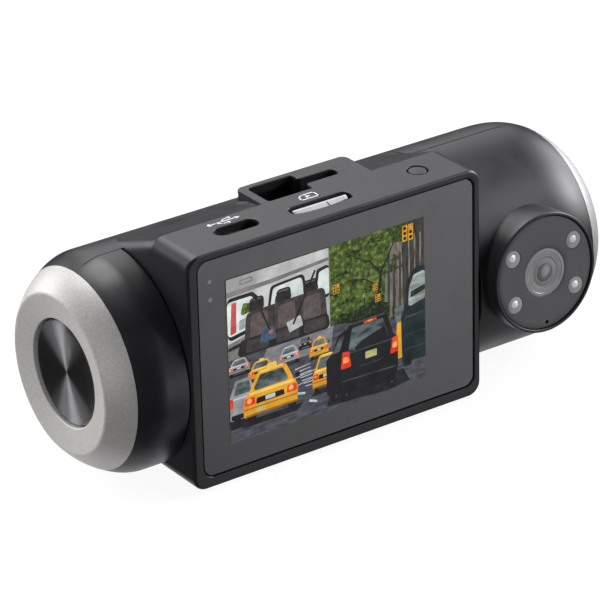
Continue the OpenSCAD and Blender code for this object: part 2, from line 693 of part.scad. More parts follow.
module cabin_microphone() {
    color(STEEL) tilted() toward_cabin(pod_x) translate([0, -8.1, sensor_z + 1])
        cylinder(r = 1.3, h = face_seat - sensor_z - 1.2, $fn = 48);
}

row_frame() screen_housing();
row_frame() road_housing();
row_frame() left_barrel_cover();
row_frame() left_cap_ring();
row_frame() screen_glass();
row_frame() display_panel();
row_frame() display_frame();
row_frame() main_board();
row_frame() processor();
row_frame() heat_spreader();
row_frame() usb_socket();
row_frame() usb_tongue();
row_frame() card_socket();
row_frame() power_switch();
row_frame() status_light_guides();
row_frame() backup_battery();
row_frame() speaker();
row_frame() gps_antenna();
row_frame() slot_rail();
row_frame() slot_spring();
row_frame() road_lens_bezel();
row_frame() road_lens_barrel();
row_frame() road_lens_glass();
row_frame() road_sensor_board();
row_frame() pivot_flange();
row_frame() pivot_retainer();
row_frame() friction_washer();
row_frame() housing_screws();
row_frame() camera_ribbon();
row_frame() end_switch_board();
row_frame() end_switch();
row_frame() memory_card();
row_frame() power_button();
row_frame() end_button();
row_frame() cabin_barrel_front();
row_frame() cabin_barrel_rear();
row_frame() cabin_hub();
row_frame() right_cap_ring();
row_frame() right_cap_disc();
row_frame() pod_face();
row_frame() cabin_lens_barrel();
row_frame() cabin_lens_glass();
row_frame() infrared_leds();
row_frame() cabin_sensor_board();
row_frame() cabin_microphone();
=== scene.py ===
import math

import bpy
import bmesh
from mathutils import Matrix, Vector


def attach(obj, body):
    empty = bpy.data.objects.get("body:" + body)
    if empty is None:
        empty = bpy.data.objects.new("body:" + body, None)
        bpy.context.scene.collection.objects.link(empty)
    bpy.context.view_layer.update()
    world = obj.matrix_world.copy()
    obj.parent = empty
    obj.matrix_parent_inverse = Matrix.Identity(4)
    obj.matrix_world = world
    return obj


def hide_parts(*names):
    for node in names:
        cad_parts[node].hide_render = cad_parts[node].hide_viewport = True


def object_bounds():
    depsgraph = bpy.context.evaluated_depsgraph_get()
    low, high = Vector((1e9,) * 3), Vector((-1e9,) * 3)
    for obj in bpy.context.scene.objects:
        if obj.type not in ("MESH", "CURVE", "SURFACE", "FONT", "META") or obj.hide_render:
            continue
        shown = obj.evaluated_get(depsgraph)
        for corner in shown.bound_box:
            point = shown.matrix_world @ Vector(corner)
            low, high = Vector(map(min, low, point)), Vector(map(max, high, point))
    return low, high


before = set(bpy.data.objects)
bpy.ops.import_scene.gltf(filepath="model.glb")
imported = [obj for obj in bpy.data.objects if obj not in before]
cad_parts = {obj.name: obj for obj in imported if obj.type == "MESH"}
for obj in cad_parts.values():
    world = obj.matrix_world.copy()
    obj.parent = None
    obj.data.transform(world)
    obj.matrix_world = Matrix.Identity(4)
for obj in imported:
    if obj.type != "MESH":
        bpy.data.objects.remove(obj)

CAD_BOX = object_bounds()

MM = 0.001
ROW_ORIGIN = Vector((2.0, 14.3, 24.5))

# ---- Sizes, the same as in the CAD model ----
HALF_W = 30.2                                      # screen block
BLOCK_TOP = 24.5
BLOCK_BOTTOM = -18.8
BLOCK_FLAT = 10.6
BLOCK_MIDDLE = 6.0
BLOCK_CORNER = 2.5
RIM_ROUND = 0.55
WALL = 1.6
LEDGE_Y, LEDGE_W, LEDGE_T = 1.4, 1.8, 1.2          # what the cover glass sits on
TUBE_R = 19.6                                      # tube and barrels
AXIS_Y = 19.6
SLOPE_END = 21.0
LEFT_SEAM, LEFT_RING = -30.5, -39.6
RIGHT_SEAM, RIGHT_RING = 30.5, 56.7
SHOULDERS = {-1: (5.1, 2.0), 1: (9.0, 3.0)}        # length and power of the curve, left and right
SHOULDER_R = 17.9
CAP_LEN = 4.4                                      # silver caps and their discs
CAP_FACE_R = 14.4
CAP_DISH = 1.1
BAND_BULGE = 0.3
CAP_HOLE_R = 9.65
DISC_R = 9.35
DISC_RECESS = 0.6
DISC_FLANGE = 1.1
GLASS = dict(x=0.3, z=3.3, w=56.8, h=39.8, r=2.0)
GLASS_FRONT, GLASS_GAP, GLASS_ROUND = 0.2, 0.2, 0.12
PICTURE = dict(x=-2.2, z=3.4, w=40.8, h=30.6)
STATUS_DOTS = dict(x=-25.7, z=(16.0, 19.3), r=0.38)
USB = dict(x=-16.3, y=5.9, w=8.5, d=3.1)           # openings in the top
CARD = dict(x=0.3, y=5.1, w=12.3, d=3.2)
POWER = dict(x=21.2, y=5.9, r=1.6, hole=1.9)
SEAT = dict(x0=-7.8, x1=15.1, y1=18.9, r=1.4)      # bracket seat and its slot
SEAT_LIP = 0.7
SEAT_T = 1.6
SEAT_WALL = 0.75
FOOT = dict(x0=-6.1, x1=2.95, d=6.5)
NECK = dict(x1=10.1, d=2.25)
SLOT_Y = 14.3
POD_X, POD_R, POD_REACH = 42.8, 11.0, 22.0         # pod with the cabin camera
FACE_SEAT = 20.7
FACE_TOP = FACE_SEAT + 1.0
TILT = math.radians(4.6)
LENS_WINDOW_R = 4.4
LED_WINDOW_R = 1.65
LED_AT = [(sx * 6.7, sz * 4.3) for sx in (-1, 1) for sz in (-1, 1)]
MICROPHONE = dict(z=-9.35, r=0.38)
ROAD_BORE_R, ROAD_REACH, ROAD_BOSS_R = 9.0, 21.8, 11.0
SCREWS = [(sx * 24.0, sz * 12.0) for sx in (-1, 1) for sz in (-1, 1)]
SCREW_HOLE_R, SCREW_SHANK_R = 2.2, 0.9
SPEAKER = dict(x=13.5, ring=2.2, r=0.5)
OPENING_EASE = 0.22                                # rounding of the openings' edges
SEAT_EDGE = 0.25                                   # rounding of the bracket seat's edge
LINING_T, LINING_RIM, LINING_CAP = 0.5, 0.45, 0.12


def to_row(p):
    return (Vector(p) - ROW_ORIGIN) * MM


# ---- Outlines ----
def rounded_rect(cx, cy, w, h, r, n=10):
    """A closed outline, anticlockwise, with 4 * (n + 1) points whatever its size."""
    r = max(r, 0.01)
    points = []
    for k, (sx, sy) in enumerate(((1, 1), (-1, 1), (-1, -1), (1, -1))):
        for i in range(n + 1):
            t = math.radians(90 * k + 90 * i / n)
            points.append((cx + sx * (w / 2 - r) + r * math.cos(t),
                           cy + sy * (h / 2 - r) + r * math.sin(t)))
    return points


def rounded_path(corners, n=6, closed=True):
    """Rounds the corners of an outline given as (x, y, radius)."""
    out = []
    count = len(corners)
    for i, (x, y, r) in enumerate(corners):
        here = Vector((x, y))
        if r <= 0 or (not closed and i in (0, count - 1)):
            out.append((x, y))
            continue
        a = (Vector(corners[i - 1][:2]) - here).normalized()
        b = (Vector(corners[(i + 1) % count][:2]) - here).normalized()
        half = math.acos(max(-1, min(1, a.dot(b)))) / 2
        reach = r / math.tan(half)
        centre = here + (a + b).normalized() * (r / math.sin(half))
        start = here + a * reach - centre
        end = here + b * reach - centre
        turn = start.angle_signed(end)
        for k in range(n + 1):
            c, s = math.cos(-turn * k / n), math.sin(-turn * k / n)
            out.append((centre.x + start.x * c - start.y * s, centre.y + start.x * s + start.y * c))
    return out


def offset_loop(points, d):
    """Moves a closed outline outwards by d (anticlockwise outlines)."""
    out = []
    count = len(points)
    for i in range(count):
        p0, p1, p2 = (Vector(points[(i + k) % count]) for k in (-1, 0, 1))
        e1, e2 = (p1 - p0), (p2 - p1)
        if e1.length < 1e-7:
            e1 = e2
        if e2.length < 1e-7:
            e2 = e1
        n1 = Vector((e1.y, -e1.x)).normalized()
        n2 = Vector((e2.y, -e2.x)).normalized()
        b = (n1 + n2).normalized()
        out.append(tuple(p1 + b * (d / max(0.4, b.dot(n1)))))
    return out


def quarter(n=5):
    """cos and sin over a quarter turn."""
    return [(math.cos(math.pi / 2 * i / n), math.sin(math.pi / 2 * i / n)) for i in range(n + 1)]


# ---- Solids, as (vertices, faces) ----
def loft(rings, closed=False):
    """Skins rings of equal length. closed joins the last ring to the first, else both ends are capped."""
    count = len(rings[0])
    verts = [tuple(p) for ring in rings for p in ring]
    faces = []
    pairs = len(rings) if closed else len(rings) - 1
    for j in range(pairs):
        a, b = j * count, ((j + 1) % len(rings)) * count
        for i in range(count):
            k = (i + 1) % count
            faces.append((a + i, a + k, b + k, b + i))
    if not closed:
        faces.append(tuple(range(count))[::-1])
        faces.append(tuple((len(rings) - 1) * count + i for i in range(count)))
    return verts, faces


class Axis:
    """A turning axis: distance s runs along it, and angle 0 points up, 90 towards side."""
    def __init__(self, origin, along, up, side):
        self.o, self.a, self.u, self.w = (Vector(v) for v in (origin, along, up, side))

    def at(self, s, r, angle):
        t = math.radians(angle)
        return self.o + self.a * s + self.u * (r * math.cos(t)) + self.w * (r * math.sin(t))


TUBE = Axis((0, AXIS_Y, 0), (1, 0, 0), (0, 0, 1), (0, 1, 0))
T_UP = Vector((0, math.sin(TILT), math.cos(TILT)))
T_BACK = Vector((0, math.cos(TILT), -math.sin(TILT)))
BARREL = Axis((0, AXIS_Y, 0), (1, 0, 0), T_UP, T_BACK)
POD = Axis((POD_X, AXIS_Y, 0), -T_BACK, T_UP, (1, 0, 0))
ROAD = Axis((0, AXIS_Y, 0), (0, 1, 0), (0, 0, 1), (1, 0, 0))


def across(x, z):
    """An axis that runs from the front rim backwards."""
    return Axis((x, 0, z), (0, 1, 0), (0, 0, 1), (1, 0, 0))


def upright(x, y):
    return Axis((x, y, 0), (0, 0, 1), (0, 1, 0), (1, 0, 0))


def pod_axis(x, z):
    return Axis(POD.o + POD.u * z + POD.w * x, POD.a, POD.u, POD.w)


def lathe(profile, axis, a0=0.0, a1=360.0, n=192, edge=0.0):
    """Turns a closed (s, r) profile. A partial turn has end faces, their outer corners eased by edge."""
    if a1 - a0 == 360:
        return loft([[axis.at(s, r, 360 * i / n) for s, r in profile] for i in range(n)], closed=True)
    middle = sum(r for _, r in profile) / len(profile)
    step = math.degrees(edge / max(r for _, r in profile))
    stops = [(a0 + step + (a1 - a0 - 2 * step) * i / n, 0.0) for i in range(n + 1)]
    if edge:
        stops = [(a0, 1.0), (a0 + 0.3 * step, 0.3)] + stops + [(a1 - 0.3 * step, 0.3), (a1, 1.0)]
    return loft([[axis.at(s, r - edge * k if r > middle else r, angle) for s, r in profile]
                 for angle, k in stops])


def rod(axis, s0, s1, r, n=48):
    return lathe([(s0, 0), (s1, 0), (s1, r), (s0, r)], axis, n=n)


def dense(profile, longest=3.0):
    """Splits the long edges of a closed profile, so that cuts in the turned surface stay local."""
    out = []
    for i, (s, r) in enumerate(profile):
        s2, r2 = profile[(i + 1) % len(profile)]
        parts = max(1, math.ceil(math.hypot(s2 - s, r2 - r) / longest))
        out += [(s + (s2 - s) * k / parts, r + (r2 - r) * k / parts) for k in range(parts)]
    return out


def up_prism(outline, z0, z1):
    return loft([[(x, y, z0) for x, y in outline], [(x, y, z1) for x, y in outline]])


def front_prism(outline, y0, y1):
    return loft([[(x, y0, z) for x, z in outline], [(x, y1, z) for x, z in outline]])


def lining_rim(outline, top, ease):
    """The eased upper edge of an opening in a flat top."""
    rings = [[(x, y, top - ease * (1 - c)) for x, y in offset_loop(outline, ease * (1 - s))]
             for c, s in quarter(5)]
    outer = offset_loop(outline, LINING_T)
    for loop, z in ((outline, top - LINING_RIM), (outer, top - LINING_RIM), (outer, top - LINING_CAP)):
        rings.append([(x, y, z) for x, y in loop])
    return loft(rings, closed=True)


def lining_shaft(outline, top, depth):
    """The wall of an opening below its edge."""
    outer = offset_loop(outline, LINING_T)
    return loft([[(x, y, z) for x, y in loop] for loop, z in (
        (outline, top - LINING_RIM), (outline, top - depth), (outer, top - depth),
        (outer, top - LINING_RIM))], closed=True)


def strip(path, section):
    """Sweeps a closed section of (outwards, z) along an open path of (x, y), kept square to it."""
    rings = []
    count = len(path)
    for i in range(count):
        p = Vector(path[i])
        before = (p - Vector(path[i - 1])).normalized() if i else None
        after = (Vector(path[i + 1]) - p).normalized() if i < count - 1 else None
        e1, e2 = before or after, after or before
        n1, n2 = Vector((e1.y, -e1.x)), Vector((e2.y, -e2.x))
        b = (n1 + n2).normalized()
        scale = 1 / max(0.4, b.dot(n1))
        rings.append([(p.x + b.x * d * scale, p.y + b.y * d * scale, z) for d, z in section])
    return loft(rings)


# ---- Objects ----
def make_object(name, parts):
    """One object out of several (vertices, faces) in drawing millimetres."""
    mesh = bpy.data.meshes.new(name)
    verts, faces = [], []
    for v, f in parts:
        base = len(verts)
        verts += [tuple(to_row(p)) for p in v]
        faces += [tuple(base + i for i in face) for face in f]
    mesh.from_pydata(verts, [], faces)
    bm = bmesh.new()
    bm.from_mesh(mesh)
    bmesh.ops.remove_doubles(bm, verts=bm.verts, dist=2e-7)
    bmesh.ops.dissolve_degenerate(bm, edges=bm.edges, dist=1e-7)
    bmesh.ops.recalc_face_normals(bm, faces=bm.faces)
    bm.to_mesh(mesh)
    bm.free()
    obj = bpy.data.objects.new(name, mesh)
    bpy.context.scene.collection.objects.link(obj)
    return obj


def cut(obj, cutters):
    """Takes cutter solids out of an object, one after another."""
    for part in cutters:
        tool = make_object("cutter", [part])
        mod = obj.modifiers.new("cut", "BOOLEAN")
        mod.operation = "DIFFERENCE"
        mod.solver = "EXACT"
        mod.object = tool
        depsgraph = bpy.context.evaluated_depsgraph_get()
        mesh = bpy.data.meshes.new_from_object(obj.evaluated_get(depsgraph))
        obj.modifiers.clear()
        obj.data = mesh
        bpy.data.objects.remove(tool)


def joined(name, objects):
    """One object out of several, which are removed."""
    bm = bmesh.new()
    for o in objects:
        bm.from_mesh(o.data)
    mesh = bpy.data.meshes.new(name)
    bm.to_mesh(mesh)
    bm.free()
    for o in objects:
        bpy.data.objects.remove(o)
    obj = bpy.data.objects.new(name, mesh)
    bpy.context.scene.collection.objects.link(obj)
    return obj


def finish_piece(obj, material, body, nodes=(), angle=32):
    obj.data.materials.clear()
    obj.data.materials.append(material)
    for p in obj.data.polygons:
        p.material_index = 0
        p.use_smooth = True
    obj.data.set_sharp_from_angle(angle=math.radians(angle))
    weighted = obj.modifiers.new("weighted", "WEIGHTED_NORMAL")
    weighted.keep_sharp = True
    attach(obj, body)
    if nodes:
        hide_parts(*nodes)
    return obj


def piece(name, parts, material, body, nodes=(), angle=32):
    return finish_piece(make_object(name, parts), material, body, nodes, angle)


# ---- Materials ----
def new_material(name):
    mat = bpy.data.materials.new(name)
    mat.use_nodes = True
    nodes = mat.node_tree.nodes
    return mat, nodes, mat.node_tree.links, nodes["Principled BSDF"]


def noise(nodes, links, scale, detail, rough=0.55, stretch=None):
    coords = nodes.new("ShaderNodeTexCoord").outputs["Object"]
    tex = nodes.new("ShaderNodeTexNoise")
    tex.inputs["Scale"].default_value = scale
    tex.inputs["Detail"].default_value = detail
    tex.inputs["Roughness"].default_value = rough
    if stretch:
        mapping = nodes.new("ShaderNodeMapping")
        mapping.inputs["Scale"].default_value = stretch
        links.new(coords, mapping.inputs["Vector"])
        coords = mapping.outputs["Vector"]
    links.new(coords, tex.inputs["Vector"])
    return tex.outputs["Fac"]


def ramp(nodes, links, source, stops):
    node = nodes.new("ShaderNodeValToRGB")
    while len(node.color_ramp.elements) < len(stops):
        node.color_ramp.elements.new(0.5)
    for element, (at, colour) in zip(node.color_ramp.elements, stops):
        element.position = at
        element.color = (*colour, 1)
    links.new(source, node.inputs["Fac"])
    return node.outputs["Color"]


def uneven(nodes, links, bsdf, source, colour, rough, darkest, swing):
    """Lets colour and gloss wander a little with a noise."""
    tint = ramp(nodes, links, source, [(0.3, tuple(c * darkest for c in colour)),
                                       (0.7, tuple(min(1, c * 1.12) for c in colour))])
    links.new(tint, bsdf.inputs["Base Color"])
    gloss = nodes.new("ShaderNodeMapRange")
    for socket, value in zip(("From Min", "From Max", "To Min", "To Max"),
                             (0.3, 0.7, rough - swing, rough + swing + 0.01)):
        gloss.inputs[socket].default_value = value
    links.new(source, gloss.inputs["Value"])
    links.new(gloss.outputs["Result"], bsdf.inputs["Roughness"])


def grained(nodes, links, bsdf, source, strength, depth_mm):
    """A fine grain in the surface's normal."""
    node = nodes.new("ShaderNodeBump")
    node.inputs["Strength"].default_value = strength
    node.inputs["Distance"].default_value = depth_mm * MM
    links.new(source, node.inputs["Height"])
    links.new(node.outputs["Normal"], bsdf.inputs["Normal"])


def plastic(name, colour, rough, grain_mm=0.12, bump=0.25, spec=0.5, coat=0.0):
    """Moulded plastic with a fine spark-eroded grain, a little uneven in colour and gloss."""
    mat, nodes, links, bsdf = new_material(name)
    grain = noise(nodes, links, 1000 / grain_mm / 3, 2.0)
    uneven(nodes, links, bsdf, noise(nodes, links, 180, 4.0), colour, rough, 0.86, 0.04)
    grained(nodes, links, bsdf, grain, bump, grain_mm * 0.12)
    bsdf.inputs["Specular IOR Level"].default_value = spec
    bsdf.inputs["Coat Weight"].default_value = coat
    return mat


def metal(name, colour, rough, metallic=1.0, grain_mm=0.2, bump=0.1, aniso=0.0):
    """Metal or metallic paint; aniso above 0 gives the fan of light of a face turned about the X axis."""
    mat, nodes, links, bsdf = new_material(name)
    grain = noise(nodes, links, 1000 / grain_mm / 3, 2.0)
    uneven(nodes, links, bsdf, grain, colour, rough, 0.85, 0.05)
    grained(nodes, links, bsdf, grain, bump, grain_mm * 0.1)
    bsdf.inputs["Metallic"].default_value = metallic
    if aniso:
        bsdf.inputs["Anisotropic"].default_value = aniso
        bsdf.inputs["Anisotropic Rotation"].default_value = 0.25
        tangent = nodes.new("ShaderNodeTangent")
        tangent.direction_type = "RADIAL"
        tangent.axis = "X"
        links.new(tangent.outputs["Tangent"], bsdf.inputs["Tangent"])
    return mat


def glow(name, low, high, scale, detail=4.0, stretch=None, mid=None):
    """A lit patch of the display: its colour wanders between low and high."""
    mat, nodes, links, bsdf = new_material(name)
    tex = noise(nodes, links, scale, detail, 0.6, stretch)
    stops = [(0.32, low), (0.5, mid), (0.68, high)] if mid else [(0.35, low), (0.65, high)]
    links.new(ramp(nodes, links, tex, stops), bsdf.inputs["Emission Color"])
    bsdf.inputs["Base Color"].default_value = (0.01, 0.01, 0.01, 1)
    bsdf.inputs["Emission Strength"].default_value = 1.0
    bsdf.inputs["Roughness"].default_value = 0.12
    bsdf.inputs["Specular IOR Level"].default_value = 0.08
    return mat


BLACK = plastic("black_shell", (0.0118, 0.011, 0.013), 0.37, bump=0.4)
# near-black for parts inside the housing; on the walls of the top's openings it is painted shade, darker
# than the shell's own black
INNER_BLACK_AND_SHADE = plastic("inner_black_and_painted_shade", (0.004, 0.004, 0.0045), 0.6)
GLOSS = plastic("gloss_black", (0.010, 0.010, 0.011), 0.16, bump=0.03)
FACE = plastic("face_black", (0.022, 0.022, 0.024), 0.2, bump=0.03)
PANEL = plastic("panel_glass", (0.021, 0.021, 0.0215), 0.12, bump=0.01, spec=0.85)
SILVER = metal("silver_paint", (0.47, 0.455, 0.44), 0.42, metallic=0.48, grain_mm=0.1, bump=0.4)
SPUN = metal("spun_black", (0.60, 0.60, 0.61), 0.5, aniso=0.99, bump=0.0, grain_mm=0.02)
STEEL = metal("plain_steel", (0.55, 0.55, 0.56), 0.3)
DARK_STEEL = metal("dark_steel", (0.03, 0.03, 0.032), 0.45)
BOARD = plastic("solder_mask", (0.012, 0.09, 0.035), 0.35)
CARD_MAT = plastic("card_grey", (0.43, 0.435, 0.445), 0.35, bump=0.05)
CARD_BODY = plastic("card_black", (0.02, 0.02, 0.022), 0.45, bump=0.1)
PRINT = plastic("pale_print", (0.58, 0.62, 0.64), 0.5, bump=0.02)
# white with a clear coat: the lamps' dies, whose white stands in for painted glints
DIE_AND_GLINT = plastic("milky_die_and_painted_glint", (0.80, 0.80, 0.80), 0.06, bump=0.02, coat=1.0)
SMOKED = plastic("smoked_clear", (0.27, 0.27, 0.275), 0.12, bump=0.02)
LENS_DARK = plastic("lens_tube", (0.03, 0.03, 0.032), 0.35, bump=0.05)
WINDOW = plastic("lens_window", (0.23, 0.23, 0.23), 0.2, bump=0.01)
RING = plastic("lens_ring", (0.28, 0.28, 0.28), 0.25, bump=0.01)
LENS = plastic("lens_glass", (0.16, 0.16, 0.16), 0.06, bump=0.0, coat=0.6)
ROAD_GLASS = plastic("road_glass", (0.006, 0.007, 0.016), 0.04, bump=0.0, coat=1.0)


# ---- Screen shell ----
def xz_ring(outline, y):
    return [(x, y, z) for x, z in outline]


def block_outline(inset):
    return rounded_rect(0, (BLOCK_TOP + BLOCK_BOTTOM) / 2, 2 * (HALF_W - inset),
                        BLOCK_TOP - BLOCK_BOTTOM - 2 * inset, BLOCK_CORNER - inset)


def glass_outline(grow, radius=None):
    return rounded_rect(GLASS["x"], GLASS["z"], GLASS["w"] + 2 * grow, GLASS["h"] + 2 * grow,
                        radius or GLASS["r"] + grow)


def screen_block():
    """The block from its back edge over the rounded rim to the glass's ledge, and back inside."""
    inner_ease = 0.1
    rings = [xz_ring(block_outline(0), y) for y in (BLOCK_FLAT, BLOCK_MIDDLE)]
    rings += [xz_ring(block_outline(RIM_ROUND * (1 - c)), RIM_ROUND * (1 - s)) for c, s in quarter(7)]
    rings += [xz_ring(glass_outline(GLASS_GAP + inner_ease * (1 - c)), inner_ease * (1 - s))
              for c, s in reversed(quarter(3))]
    rings.append(xz_ring(glass_outline(GLASS_GAP), LEDGE_Y))
    rings += [xz_ring(glass_outline(-LEDGE_W, 1.0), y) for y in (LEDGE_Y, LEDGE_Y + LEDGE_T)]
    rings += [xz_ring(block_outline(WALL), y) for y in (LEDGE_Y + LEDGE_T, BLOCK_FLAT)]
    return loft(rings, closed=True)


def round_ended(x, y, w, d):
    return rounded_rect(x, y, w, d, d / 2 - 0.01)


def card_opening():
    """A long slot whose front edge bows towards the screen."""
    side, front, back = CARD["w"] / 2, -CARD["d"] / 2, CARD["d"] / 2
    bow = 0.4
    return rounded_path([(CARD["x"] + x, CARD["y"] + y, r) for x, y, r in (
        (-side, front + bow, 1.0), (-3.4, front, 3.0), (3.4, front, 3.0), (side, front + bow, 1.0),
        (side, back, 1.2), (-side, back, 1.2))])


def bracket_opening():
    """The slot for a windscreen bracket: a wide foot that narrows to a neck."""
    half_foot, half_neck = FOOT["d"] / 2, NECK["d"] / 2
    side = [(FOOT["x0"], half_foot, 0.5), (FOOT["x1"], half_foot, 0.5), (FOOT["x1"], half_neck, 0.6),
            (NECK["x1"], half_neck, 0.9)]
    return rounded_path([(x, SLOT_Y - y, r) for x, y, r in side]
                        + [(x, SLOT_Y + y, r) for x, y, r in reversed(side)])


def through_top(outline):
    return up_prism(offset_loop(outline, OPENING_EASE), BLOCK_TOP - 3, BLOCK_TOP + 1)


def seat_path(inset, y0):
    """The seat's edge from its right front end, round the back, to its left front end."""
    x0, x1, y1 = SEAT["x0"] + inset, SEAT["x1"] - inset, SEAT["y1"] - inset
    r = SEAT["r"] - inset
    return rounded_path([(x1, y0, 0), (x1, y1, r), (x0, y1, r), (x0, y0, 0)], n=8, closed=False)


def seat_edging():
    """The rounded edge of the seat's top plate."""
    root, under, chamfer = -SEAT_EDGE - 0.3, BLOCK_TOP - SEAT_LIP, 0.08
    lip = [(root, BLOCK_TOP - 0.05), (-SEAT_EDGE, BLOCK_TOP)]
    lip += [(-SEAT_EDGE + SEAT_EDGE * s, BLOCK_TOP - SEAT_EDGE + SEAT_EDGE * c) for c, s in quarter(5)[1:]]
    lip += [(0, under + chamfer), (-chamfer, under), (root, under)]
    return strip(seat_path(0, BLOCK_FLAT), lip)


def wall_strip(path, z0):
    """A wall of the seat along a path, from z0 up to the plate's edge."""
    inset, ease = 0.05, 0.1
    z1 = BLOCK_TOP - SEAT_LIP + 0.02
    return strip(path, [(-inset, z0), (-inset, z1 - ease), (-inset - ease, z1), (-inset - SEAT_WALL, z1),
                        (-inset - SEAT_WALL, z0)])


def wall_foot(x, out):
    """A small flare where a side wall of the seat runs down onto the sloping back."""
    fall = math.tan(math.radians(21.3))
    rings = []
    for k in range(17):
        y = BLOCK_FLAT + 0.2 + 0.45 * k
        z = BLOCK_TOP - (y - BLOCK_FLAT) * fall
        size = max(0.02, min(1, (BLOCK_TOP - SEAT_LIP - 0.1 - z) / 0.9))
        rings.append([(x, y, z + 0.75 * size), (x + out * 0.22 * size, y, z + 0.28 * size),
                      (x + out * 0.75 * size, y, z - 0.02), (x - out * 0.3, y, z - 0.3)])
    return loft(rings)


usb_outline = round_ended(USB["x"], USB["y"], USB["w"], USB["d"])
card_outline = card_opening()
power_outline = round_ended(POWER["x"], POWER["y"], 2 * POWER["hole"], 2 * POWER["hole"])
slot_outline = bracket_opening()
block = make_object("block", [screen_block()])
cut(block, [through_top(o) for o in (usb_outline, card_outline, power_outline)])
plate = make_object("plate", [up_prism(seat_path(SEAT_EDGE, BLOCK_FLAT), BLOCK_TOP - SEAT_T, BLOCK_TOP)])
cut(plate, [through_top(slot_outline)])
WALL_SPLIT = 0.08                                  # half the gap between front and back wall pieces
front_end, seat_wall_low = BLOCK_FLAT - 0.02, BLOCK_TOP - 3.4
front_walls = [wall_strip([(SEAT["x0"], SLOT_Y - WALL_SPLIT), (SEAT["x0"], front_end)], seat_wall_low),
               wall_strip([(SEAT["x1"], front_end), (SEAT["x1"], SLOT_Y - WALL_SPLIT)], seat_wall_low)]
# each opening's outline, the rounding of its edge and its depth
openings = [(usb_outline, OPENING_EASE, 2.4), (card_outline, OPENING_EASE, WALL),
            (power_outline, 0.12, WALL), (slot_outline, OPENING_EASE, 3.0)]
feet = [wall_foot(SEAT["x0"], -1), wall_foot(SEAT["x1"], 1)]
rims = [lining_rim(o, BLOCK_TOP, ease) for o, ease, _ in openings]
trims = make_object("trims", [seat_edging()] + feet + front_walls + rims)
finish_piece(joined("screen_shell", [block, plate, trims]), BLACK, "housing", ["screen_housing"])
# the walls down inside the openings get the near-black inner material: painted shade in the openings
piece("opening_walls_painted_shade", [lining_shaft(o, BLOCK_TOP, d) for o, _, d in openings], INNER_BLACK_AND_SHADE, "housing")


# ---- Road shell ----
def shoulder(x0, length, sign):
    """Points (s, r) along a barrel's curved shoulder, which ends at x0 + sign * length."""
    run, power = SHOULDERS[sign]
    steps = 18
    return [(x0 + sign * (length - run + run * i / steps),
             TUBE_R - (TUBE_R - SHOULDER_R) * (i / steps) ** power) for i in range(steps + 1)]


def barrel_profile(x0, length, sign, ease=0.15):
    """A barrel's wall, from its seam at x0 to the silver cap."""
    outer = [(x0, TUBE_R - ease), (x0 + sign * ease * 0.3, TUBE_R - ease * 0.3),
             (x0 + sign * ease, TUBE_R)]
    inner = [(x0 + sign * length, SHOULDER_R - WALL),
             (x0 + sign * (length - SHOULDERS[sign][0]), TUBE_R - WALL), (x0, TUBE_R - WALL)]
    return dense(outer + shoulder(x0, length, sign) + inner, 2.5)


def roof():
    """The screen block's back: a slope that runs down into the tube, with rolled side edges."""
    reach = TUBE_R - 0.05
    end_y = AXIS_Y + reach * math.sin(math.radians(SLOPE_END))
    end_z = reach * math.cos(math.radians(SLOPE_END))
    steps, tube_starts = 24, 14.0
    rings = []
    for i in range(steps + 1):
        y = BLOCK_FLAT + (end_y - BLOCK_FLAT) * i / steps
        top = BLOCK_TOP + (end_z - BLOCK_TOP) * i / steps
        under = math.sqrt(max(0, TUBE_R ** 2 - (y - AXIS_Y) ** 2)) - 0.35
        low = max(BLOCK_BOTTOM, -under) if y > tube_starts else BLOCK_BOTTOM
        rings.append(xz_ring(rounded_rect(0, (top + low) / 2, 2 * HALF_W, top - low, BLOCK_CORNER), y))
    return loft(rings)


def speaker_hole(k):
    """One hole in the middle and six round it, through the bottom."""
    reach, turn = (0, 0) if k == 0 else (SPEAKER["ring"], math.radians(60 * k))
    axis = upright(SPEAKER["x"] + reach * math.cos(turn), AXIS_Y + reach * math.sin(turn))
    return rod(axis, -22, -15, SPEAKER["r"], 20)


tube_end = HALF_W - 0.02
tube = make_object("tube", [lathe(barrel_profile(tube_end, tube_end - LEFT_RING, -1), TUBE, 0, 196.5, 200)])
past_ring, past_axis = LEFT_RING - 3, AXIS_Y + 0.05
left_front = up_prism([(past_ring, 0.0), (-HALF_W, 0.0), (-HALF_W, past_axis), (past_ring, past_axis)],
                      -25, 0.0)
small_holes = [rod(across(x, z), 20.0, 45, SCREW_HOLE_R) for x, z in SCREWS]
small_holes += [speaker_hole(k) for k in range(7)]
cut(tube, [left_front, rod(ROAD, 15, 30, ROAD_BORE_R, 96)] + small_holes)
roof_obj = make_object("roof", [roof()])
seat_middle, seat_w = (SEAT["x0"] + SEAT["x1"]) / 2, SEAT["x1"] - SEAT["x0"]
seat_room = rounded_rect(seat_middle, 13.6, seat_w - 1.6, 9.0, 0.5)
seat_front = rounded_rect(seat_middle, 12.0, seat_w + 0.04, 4.64, 0.02)
cut(roof_obj, [up_prism(seat_room, 12, 30), up_prism(seat_front, BLOCK_TOP - 4, 30)] + small_holes)
boss = lathe(dense([(TUBE_R - 4, ROAD_BORE_R + 0.01), (20.65, ROAD_BORE_R + 0.01),
                    (20.8, ROAD_BORE_R + 0.15), (20.8, ROAD_BOSS_R - 0.25), (20.72, ROAD_BOSS_R - 0.07),
                    (20.55, ROAD_BOSS_R), (TUBE_R - 4, ROAD_BOSS_R)], 2.0), ROAD, n=128)
screw_tubes = [lathe([(19.9, SCREW_SHANK_R), (19.9, 2.75), (31.0, 2.75), (31.0, 2.21), (20.0, 2.21),
                      (20.0, SCREW_SHANK_R)], across(x, z), n=48) for x, z in SCREWS]
back_walls = wall_strip(seat_path(0, SLOT_Y + WALL_SPLIT), 16.0)
road_trims = make_object("road_trims", [boss, back_walls] + screw_tubes)
finish_piece(joined("road_shell", [tube, roof_obj, road_trims]), BLACK, "housing", ["road_housing"])

